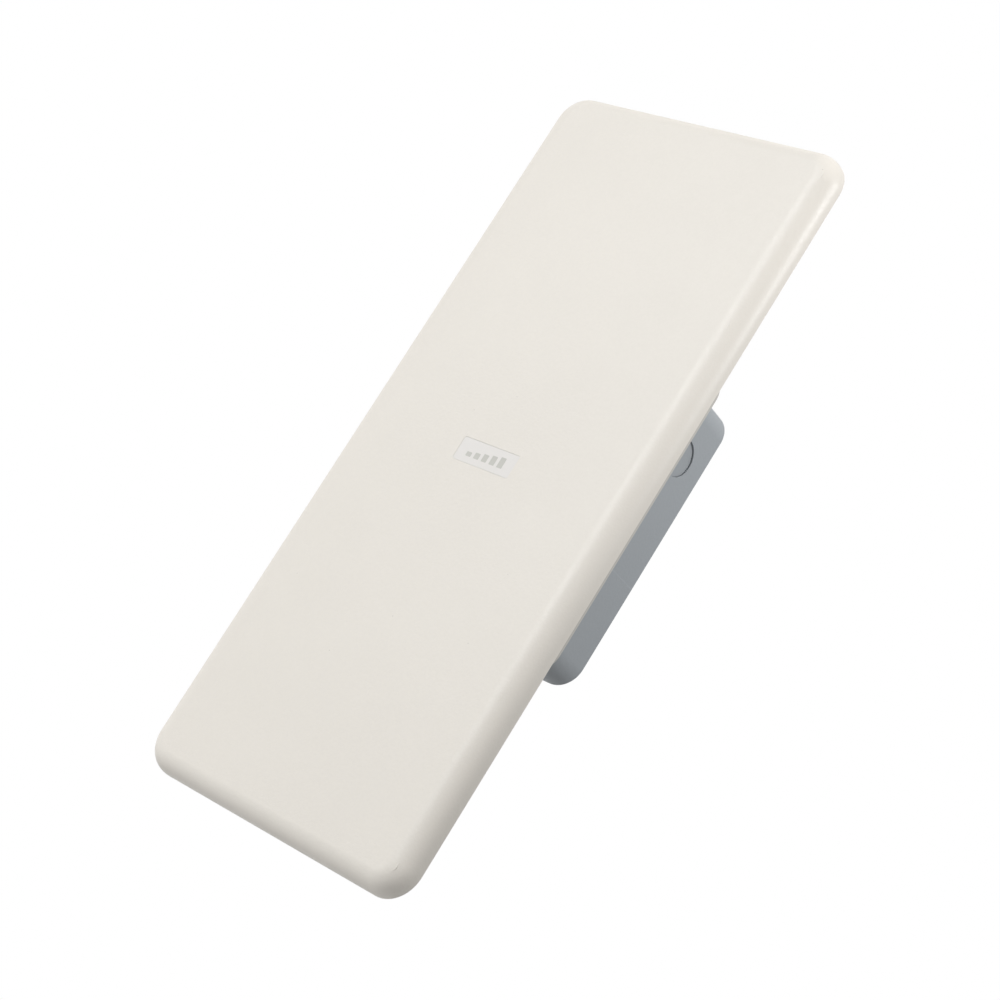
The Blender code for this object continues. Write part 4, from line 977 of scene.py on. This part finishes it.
def shell_cuts():
    """What is drilled, tapped or recessed, in groups whose members stay apart."""
    start = SHELL_FRONT_Y - GAP
    yield rods(four(BOSS_AT), LONG_HOLE, start, SHELL_FRONT_Y + BOSS_HOLE_DEPTH)
    yield rods(four(*COVER_SCREW_AT), SMALL_HOLE, start, COVER_HOLE_END)
    screw_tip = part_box("board_screw_1")[1].y
    board_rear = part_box("main_board")[1].y
    yield rods(four(BOARD_SCREW_AT), SMALL_HOLE, board_rear - GAP, screw_tip + TIP_ROOM)
    mounts = bmesh.new()
    for x, z in four(MOUNT_HOLE_AT):
        threaded_hole(mounts, x, z)
    yield mounts
    yield fin_grooves()
    yield plug_recess()
    yield bottom_holes()


def housing_shell():
    """Die-cast box with cooling grooves, tapped mounting pad and the plug's recess."""
    body = shell_tray()
    for shape in shell_bosses():
        combine(body, shape, "UNION")
    for shape in shell_cuts():
        combine(body, shape, "DIFFERENCE")
    put(soften(body), ["housing_shell"], "housing_coat")


def housing_cover():
    low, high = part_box("housing_cover")
    body = plate("housing_lid", (high.x, high.z), HOUSING_CORNER, low.y, high.y)
    below, above = low.y - GAP, high.y + GAP
    drill(body, four(BOSS_AT), LONG_HOLE, below, above)
    drill(body, four(*COVER_SCREW_AT), SMALL_HOLE, below, above)
    places = places_of(("pigtail_grommet_1", "pigtail_grommet_2"))
    drill(body, places, GROMMET_RADIUS + GAP, below, above)
    put(soften(body, TINY_EDGE), ["housing_cover"], "cover_metal")


def seal_ring(name, node, corner, width):
    """A flat seal that follows a rounded rectangle."""
    low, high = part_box(node)
    outer = (high.x, high.z, corner)
    inner = (high.x - width, high.z - width, corner - width)
    loops = [rounded_loop(*outer, low.y), rounded_loop(*outer, high.y)]
    loops += [rounded_loop(*inner, high.y), rounded_loop(*inner, low.y)]
    body = skinned(name, loops, closed=True)
    put(soften(body, TINY_EDGE), [node], "seal_rubber")


# ---------------------------------------------------------------- side plug and reset button
GROOVE_DEPTH = 0.0014
DISH = (0.00025, 0.0002)  # how far the face is sunk at its middle and near its rim
DISH_RIM = (0.0016, 0.0009)  # where the dish starts to rise and where it ends, from the edge
PLUG_CHAMFER = 0.0006
PLUG_EDGE_ANGLE = math.radians(30)
RING_STEPS = 16
BUTTON_CROWN = ((1.0, 0.0005), (0.92, 0.0002), (0.7, 0.0))  # share of the radius, drop


def side_plug():
    """Push-in cap, slightly dished, with a ring in its groove; it slides out along X."""
    face, under = PLUG_HIGH.x, PLUG_HIGH.x - PLUG_HEAD
    ring_low, ring_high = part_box("plug_ring")
    groove = PLUG_SHANK - GROOVE_DEPTH
    profile = [
        (0, face - DISH[0]),
        (PLUG_RADIUS - DISH_RIM[0], face - DISH[1]),
        (PLUG_RADIUS - DISH_RIM[1], face),
        (PLUG_RADIUS, face),
        (PLUG_RADIUS, under),
        (PLUG_SHANK, under),
        (PLUG_SHANK, ring_high.x + GAP),
        (groove, ring_high.x + GAP),
        (groove, ring_low.x - GAP),
        (PLUG_SHANK, ring_low.x - GAP),
        (PLUG_SHANK, PLUG_LOW.x + PLUG_CHAMFER),
        (PLUG_SHANK - PLUG_CHAMFER, PLUG_LOW.x),
        (0, PLUG_LOW.x),
    ]
    body = turned("plug_cap", profile, (0, PLUG_Y, PLUG_Z), "x", FINEST_SIDES)
    put(soften(body, TINY_EDGE, PLUG_EDGE_ANGLE), ["side_plug"], "plug_plastic", "plug")
    round_ring("plug_o_ring", "plug_ring", groove + GAP, ring_high.z - PLUG_Z)


def round_ring(name, node, inner, outer):
    """A rubber ring about the plug's axis, of rounded section."""
    low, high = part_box(node)
    middle, half_width = (inner + outer) / 2, (outer - inner) / 2
    half_length = (high.x - low.x) / 2
    section = []
    for step in range(RING_STEPS):
        turn = -2 * math.pi * step / RING_STEPS
        along = (low.x + high.x) / 2 + half_length * math.sin(turn)
        section.append((middle + half_width * math.cos(turn), along))
    body = turned(name, section, (0, PLUG_Y, PLUG_Z), "x", FINEST_SIDES)
    body.data.shade_smooth()
    put(body, [node], "seal_rubber", "plug")


def reset_button():
    low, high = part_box("reset_button")
    radius = (high.z - low.z) / 2
    profile = [(0, low.x), (radius, low.x)]
    profile += [(radius * share, high.x - drop) for share, drop in BUTTON_CROWN]
    profile.append((0, high.x))
    body = turned("reset_plunger", profile, (0, PLUG_Y, PLUG_Z), "x", SMALL_SIDES)
    put(soften(body, TINY_EDGE), ["reset_button"], "button_plastic", "button")


# ---------------------------------------------------------------- screws
SCREW_SIDES = 32
HEAD_CROWN = 0.65  # the head's domed part, as a share of its height
SHANK_ROOT = 0.84  # the shank between threads, as a share of its radius
SHANK_NECK = 0.86
SHANK_TIP = 0.6
RECESS_REACH, RECESS_HALF_WIDTH = 0.5, 0.11  # as shares of the head's radius
RECESS_FLOOR = 0.35  # height left under the recess, as a share of the head's
THREAD_ANGLE = math.radians(35)  # edges sharper than this stay sharp
SMALL_PITCH, LONG_PITCH = 0.0007, 0.0010
TURN_BETWEEN = 0.7  # radians between one screw's slots and the next one's


def screw_mesh(name, size, length, pitch):
    """A pan-head screw with its seat at the origin, its shank along +Y and rings of thread."""
    head_radius, head_height, shank_radius = size
    profile = [(0, -head_height)]
    for turn in quarter_turn(DOME_STEPS)[1:]:
        rise = 1 - HEAD_CROWN + HEAD_CROWN * math.cos(turn)
        profile.append((head_radius * math.sin(turn), -head_height * rise))
    profile += [(head_radius, 0), (shank_radius * SHANK_NECK, 0)]
    y = pitch
    while y < length - pitch:
        profile += [(shank_radius * SHANK_ROOT, y), (shank_radius, y + pitch / 2)]
        y += pitch
    profile += [(shank_radius * SHANK_ROOT, y), (shank_radius * SHANK_TIP, length), (0, length)]
    made = turned(name, profile, (0, 0, 0), "y", SCREW_SIDES)
    half, thin = head_radius * RECESS_REACH, head_radius * RECESS_HALF_WIDTH
    low, high = -head_height - GAP, -head_height * RECESS_FLOOR
    for half_x, half_z in ((half, thin), (thin, half)):
        slot = add_box(bmesh.new(), (-half_x, low, -half_z), (half_x, high, half_z))
        combine(made, slot, "DIFFERENCE")
    mesh = made.data
    mesh.shade_smooth()
    mesh.set_sharp_from_angle(angle=THREAD_ANGLE)
    bpy.data.objects.remove(made)
    return mesh


def screws(kind, size, count, pitch, towards):
    """The screws of one kind on a shared mesh; towards is their shank's direction along Y."""
    low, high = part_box(f"{kind}_1")
    length = high.y - low.y - size[1]
    mesh = screw_mesh(f"{kind}_shape", size, length, pitch)
    for number in range(1, count + 1):
        node = f"{kind}_{number}"
        low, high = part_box(node)
        seat = low.y + size[1] if towards > 0 else high.y - size[1]
        obj = bpy.data.objects.new(f"{kind}_turned_{number}", mesh)
        bpy.context.scene.collection.objects.link(obj)
        middle = centre(node)
        obj.location = (middle.x, seat, middle.z)
        obj.rotation_euler = (0 if towards > 0 else math.pi, TURN_BETWEEN * number, 0)
        put(obj, [node], "screw_steel")


def all_screws():
    screws("radome_screw", SMALL_SCREW, len(RADOME_SCREWS), SMALL_PITCH, -1)
    screws("cover_screw", SMALL_SCREW, 4, SMALL_PITCH, 1)
    screws("board_screw", SMALL_SCREW, 4, SMALL_PITCH, 1)
    screws("housing_screw", LONG_SCREW, 4, LONG_PITCH, 1)


# ---------------------------------------------------------------- fittings in the bottom wall
GLAND_ROOT = GLAND_THREAD - 0.0007  # radius between the gland's threads
GLAND_LEAD = GLAND_THREAD - 0.0006  # at its upper end
GLAND_PITCH = 0.0015
THREAD_START, THREAD_END = 0.0003, 0.0002  # plain lengths before and after a thread
GLAND_BORE = 0.0050
GLAND_HEX = 0.0100  # from the axis to a flat
GLAND_FLANGE = 0.0050
GLAND_CUP = (0.0066, 0.0065)  # radius, depth
HEX_CHAMFER = 0.0006
HEX_END, HEX_BODY = 0.905, 0.985  # how much of a full corner is left at the ends and between
DOME_FOOT = 0.955  # where the nut's dome starts, as a share of GLAND_HEX
NUT_MOUTH = 0.0004
NYLON_ANGLE = math.radians(28)  # edges sharper than this stay sharp
SEAL_BORE, SEAL_MOUTH, SEAL_EDGE = 0.0047, 0.0004, 0.0003
VENT_HEAD, GROUND_HEAD, LENS_HEAD = 0.0080, 0.0046, 0.0032
VENT_CROWN, GROUND_CROWN, LENS_CROWN = 0.3, 0.35, 0.5  # domed part of each head
VENT_SLOTS, VENT_SLOT_RADIUS, VENT_SLOT_SIDES = 8, 0.0009, 20
VENT_SLOT_REACH = 0.8  # as a share of the head's height
DRIVER_SLOT = (0.0060, 0.0006, 0.0014)  # half length, half width, depth


def hex_radius(flats, rounding):
    """A hexagon's outline whose corners are cut to rounding times the full corner."""
    limit = flats / math.cos(math.pi / 6) * rounding
    return lambda angle: min(hexagon(angle, flats), limit)


def chamfered_hex(low, high):
    """Profile rows of a hexagonal length whose corners are turned off at both ends."""
    ends, body = hex_radius(GLAND_HEX, HEX_END), hex_radius(GLAND_HEX, HEX_BODY)
    return [(ends, high), (body, high - HEX_CHAMFER), (body, low + HEX_CHAMFER), (ends, low)]


def thread_rows(high, low):
    """Profile rows of the gland's thread, from high to low."""
    rows = []
    z = high
    while z - GLAND_PITCH > low:
        rows += [(GLAND_ROOT, z), (GLAND_THREAD, z - GLAND_PITCH / 2)]
        z -= GLAND_PITCH
    return rows + [(GLAND_ROOT, z)]


def nylon_piece(name, node, profile, body="bridge"):
    """A turned piece of the gland."""
    piece = turned(name, profile, (0, FITTING_Y, 0), "z", FINEST_SIDES)
    piece.data.shade_smooth()
    piece.data.set_sharp_from_angle(angle=NYLON_ANGLE)
    put(piece, [node], "gland_nylon", body)


def gland_body():
    """Nylon body: thread through the wall, hexagonal flange, thread and cup for the seal."""
    low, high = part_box("gland_body")
    flange_low = FITTING_SEAT - GLAND_FLANGE
    cup_radius, cup_depth = GLAND_CUP
    cup = low.z + cup_depth
    profile = [(GLAND_BORE, high.z), (GLAND_LEAD, high.z)]
    profile += thread_rows(high.z - THREAD_START, FITTING_SEAT + THREAD_END)
    profile.append((GLAND_ROOT, FITTING_SEAT))
    profile += chamfered_hex(flange_low, FITTING_SEAT)
    profile.append((GLAND_ROOT, flange_low))
    profile += thread_rows(flange_low - THREAD_END, low.z + THREAD_END)
    profile += [(GLAND_ROOT, low.z), (cup_radius, low.z), (cup_radius, cup), (GLAND_BORE, cup)]
    nylon_piece("gland_base", "gland_body", profile)


def gland_nut():
    """Dome nut: hexagonal length, then a dome down to the cable's opening; it turns about Z."""
    low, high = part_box("gland_nut")
    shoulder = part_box("gland_body")[0].z - GAP
    bore = GLAND_THREAD + FIT
    dome_end = (GLAND_BORE + GLAND_THREAD) / 2
    profile = [(bore, high.z)] + chamfered_hex(shoulder, high.z)
    for turn in quarter_turn(DOME_STEPS)[1:]:
        radius = dome_end + (GLAND_HEX * DOME_FOOT - dome_end) * math.cos(turn)
        profile.append((radius, shoulder - (shoulder - low.z) * math.sin(turn)))
    profile += [(GLAND_BORE + NUT_MOUTH, low.z), (GLAND_BORE, low.z + NUT_MOUTH)]
    profile += [(GLAND_BORE, shoulder), (bore, shoulder)]
    nylon_piece("gland_dome_nut", "gland_nut", profile, "dome_nut")


def gland_seal():
    """Rubber sleeve in the cup, its mouth opened out for the cable."""
    low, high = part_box("gland_seal")
    outer = high.x
    profile = [(SEAL_BORE + SEAL_MOUTH, low.z), (outer - SEAL_EDGE, low.z)]
    profile += [(outer, low.z + SEAL_EDGE), (outer, high.z)]
    profile += [(SEAL_BORE, high.z), (SEAL_BORE, low.z + SEAL_MOUTH)]
    body = turned("gland_sleeve", profile, (0, FITTING_Y, 0), "z")
    put(soften(body, TINY_EDGE), ["gland_seal"], "seal_rubber")


def headed(node, name, slot, head_radius, shank_radius, crown, cut=None):
    """A round-headed piece in the bottom wall: rounded head below, shank inside."""
    low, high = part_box(node)
    deep = FITTING_SEAT - low.z
    profile = [(0, low.z)]
    for turn in quarter_turn(EDGE_STEPS):
        radius = head_radius * (1 - crown * (1 - math.sin(turn)))
        profile.append((radius, low.z + deep * crown * (1 - math.cos(turn))))
    profile += [(head_radius, FITTING_SEAT), (shank_radius, FITTING_SEAT)]
    profile += [(shank_radius, high.z), (0, high.z)]
    x = centre(node).x
    body = turned(name, profile, (x, FITTING_Y, 0), "z")
    if cut:
        combine(body, cut(x, low.z, deep), "DIFFERENCE")
    put(soften(body, TINY_EDGE), [node], slot)


def vent_slots(x, low, deep):
    """Slots round the vent cap's side, which let the housing breathe."""
    shape = bmesh.new()
    for number in range(VENT_SLOTS):
        angle = 2 * math.pi * (number + 0.5) / VENT_SLOTS
        across, along = VENT_HEAD * math.cos(angle), VENT_HEAD * math.sin(angle)
        spot = (x + across, FITTING_Y + along, 0)
        high = low + deep * VENT_SLOT_REACH
        add_rod(shape, VENT_SLOT_RADIUS, spot, "z", low - GAP, high, VENT_SLOT_SIDES)
    return shape


def screwdriver_slot(x, low, _):
    """Slot across the earth screw's head, whatever the head's height."""
    long, wide, sunk = DRIVER_SLOT
    corners = ((x - long, FITTING_Y - wide, low - GAP), (x + long, FITTING_Y + wide, low + sunk))
    return add_box(bmesh.new(), *corners)


def bottom_fittings():
    gland_body()
    gland_nut()
    gland_seal()
    vent = (VENT_HEAD, VENT_SHANK, VENT_CROWN, vent_slots)
    headed("vent", "vent_cap", "black_plastic", *vent)
    ground = (GROUND_HEAD, GROUND_SHANK, GROUND_CROWN, screwdriver_slot)
    headed("ground_screw", "earth_screw", "screw_steel", *ground)
    lens = (LENS_HEAD, LENS_SHANK, LENS_CROWN)
    headed("status_lens", "light_guide", "lens_plastic", *lens)


# ---------------------------------------------------------------- camera, light and floor
CAMERA_AT = (0.8910, -1.0411, -0.3010)
CAMERA_AZIMUTH = math.radians(41.47)
CAMERA_ELEVATION = math.radians(-12.11)
CAMERA_ROLL = math.radians(32.16)
CAMERA_LENS = 83.54
SENSOR_WIDTH = 36.0
CLIP = (0.05, 20.0)
FLOOR_Z = -0.62
FLOOR_RADIUS, FLOOR_SIDES = 1.15, 128
FLOOR_TONES = ((0.86, 0.86, 0.86, 1.0), (0.88, 0.88, 0.88, 1.0))
FLOOR_GRAIN, FLOOR_ROUGHNESS = 400.0, 0.9
SKY_BELOW, SKY_ABOVE = 0.24, 0.38
SKY_DARK_WAY = (0.60, -0.55, -0.60)  # hardly any light comes from here
SKY_DARK_RANGE = (0.1, 0.9)  # cosine to that way, from bright to dark
SKY_DARK_PART = 0.05
LAMPS = {
    "key": {"place": (-0.7, -2.2, 0.9), "aim": (0.0, 0.0, 0.0), "size": (1.4, 1.4), "watts": 45.0},
    "side": {
        "place": (0.95, -0.02, 0.62),
        "aim": (0.11, -0.05, 0.17),
        "size": (0.30, 0.30),
        "watts": 0.85,
        "spread": 60.0,
    },
}


def camera():
    data = bpy.data.cameras.new("camera")
    data.lens = CAMERA_LENS
    data.sensor_width = SENSOR_WIDTH
    data.clip_start, data.clip_end = CLIP
    obj = bpy.data.objects.new("camera", data)
    bpy.context.scene.collection.objects.link(obj)
    level = math.cos(CAMERA_ELEVATION)
    sine, cosine = math.sin(CAMERA_AZIMUTH), math.cos(CAMERA_AZIMUTH)
    back = Vector((sine * level, -cosine * level, math.sin(CAMERA_ELEVATION)))
    sideways = Vector((cosine, sine, 0))
    upright = back.cross(sideways)
    right = sideways * math.cos(CAMERA_ROLL) + upright * math.sin(CAMERA_ROLL)
    axes = Matrix((right, back.cross(right), back)).transposed()
    obj.matrix_world = Matrix.Translation(CAMERA_AT) @ axes.to_4x4()
    bpy.context.scene.camera = obj


def softbox(name, place, aim, size, watts, spread=180.0):
    """A rectangular lamp; its spread is in degrees."""
    data = bpy.data.lights.new(name, "AREA")
    data.shape = "RECTANGLE"
    data.size, data.size_y = size
    data.energy = watts
    data.spread = math.radians(spread)
    obj = bpy.data.objects.new(name, data)
    bpy.context.scene.collection.objects.link(obj)
    obj.location = place
    obj.rotation_mode = "QUATERNION"
    obj.rotation_quaternion = (Vector(aim) - Vector(place)).to_track_quat("-Z", "Y")


def world():
    """White where it is seen, and a soft light elsewhere, dimmer from below and from one side."""
    made = bpy.data.worlds.new("studio")
    bpy.context.scene.world = made
    made.use_nodes = True
    tree = made.node_tree
    background = tree.nodes["Background"]
    path = tree.nodes.new("ShaderNodeLightPath").outputs
    direct = add_math(tree, "MAXIMUM", path["Is Camera Ray"], path["Is Transmission Ray"])
    seen = add_math(tree, "MAXIMUM", direct, path["Is Glossy Ray"])
    towards = tree.nodes.new("ShaderNodeSeparateXYZ")
    way = tree.nodes.new("ShaderNodeTexCoord").outputs["Generated"]
    tree.links.new(way, towards.inputs[0])
    level = add_range(tree, towards.outputs["Z"], -1.0, 1.0, SKY_BELOW, SKY_ABOVE)
    dark_way = Vector(SKY_DARK_WAY).normalized()
    facing = add_vector_math(tree, "DOT_PRODUCT", way, dark_way).outputs["Value"]
    lit = add_range(tree, facing, *SKY_DARK_RANGE, 1.0, SKY_DARK_PART)
    dimmed = add_math(tree, "MULTIPLY", lit, add_math(tree, "SUBTRACT", 1.0, seen))
    dimmed = add_math(tree, "MULTIPLY", dimmed, level)
    tree.links.new(add_math(tree, "ADD", dimmed, seen), background.inputs["Strength"])
    background.inputs["Color"].default_value = (1.0, 1.0, 1.0, 1.0)


def floor():
    """Pale round floor, well below the panel, that takes its shadow."""
    shape = bmesh.new()
    bmesh.ops.create_circle(shape, cap_ends=True, radius=FLOOR_RADIUS, segments=FLOOR_SIDES)
    obj = make_object("studio_floor", shape)
    obj.location = (0, 0, FLOOR_Z)
    made, tree, shader = new_finish("floor_paint")
    mask = add_group(tree, "grain", grain_scale=FLOOR_GRAIN).outputs["Mask"]
    tree.links.new(add_mix(tree, mask, *FLOOR_TONES), shader.inputs["Base Color"])
    shader.inputs["Roughness"].default_value = FLOOR_ROUGHNESS
    obj.data.materials.append(made)
    obj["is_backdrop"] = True


def studio():
    camera()
    world()
    floor()
    for name, lamp in LAMPS.items():
        softbox(name, **lamp)
    bpy.context.scene.view_settings.view_transform = "Standard"


# ---------------------------------------------------------------- everything together
LID_GASKET = (HOUSING_CORNER - 0.0006, 0.0030)  # corner, width
RIM_SEAL = (RADOME_CORNER - 0.0033, 0.0036)


def main():
    studio()
    dress_frame_nodes()
    radome()
    nameplate()
    back_plate()
    carrier_frame()
    housing_shell()
    housing_cover()
    seal_ring("lid_gasket", "housing_gasket", *LID_GASKET)
    seal_ring("rim_seal", "radome_seal", *RIM_SEAL)
    side_plug()
    reset_button()
    all_screws()
    bottom_fittings()


main()
[[list(corner) for corner in box] for box in (CAD_BOUNDS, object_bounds())]
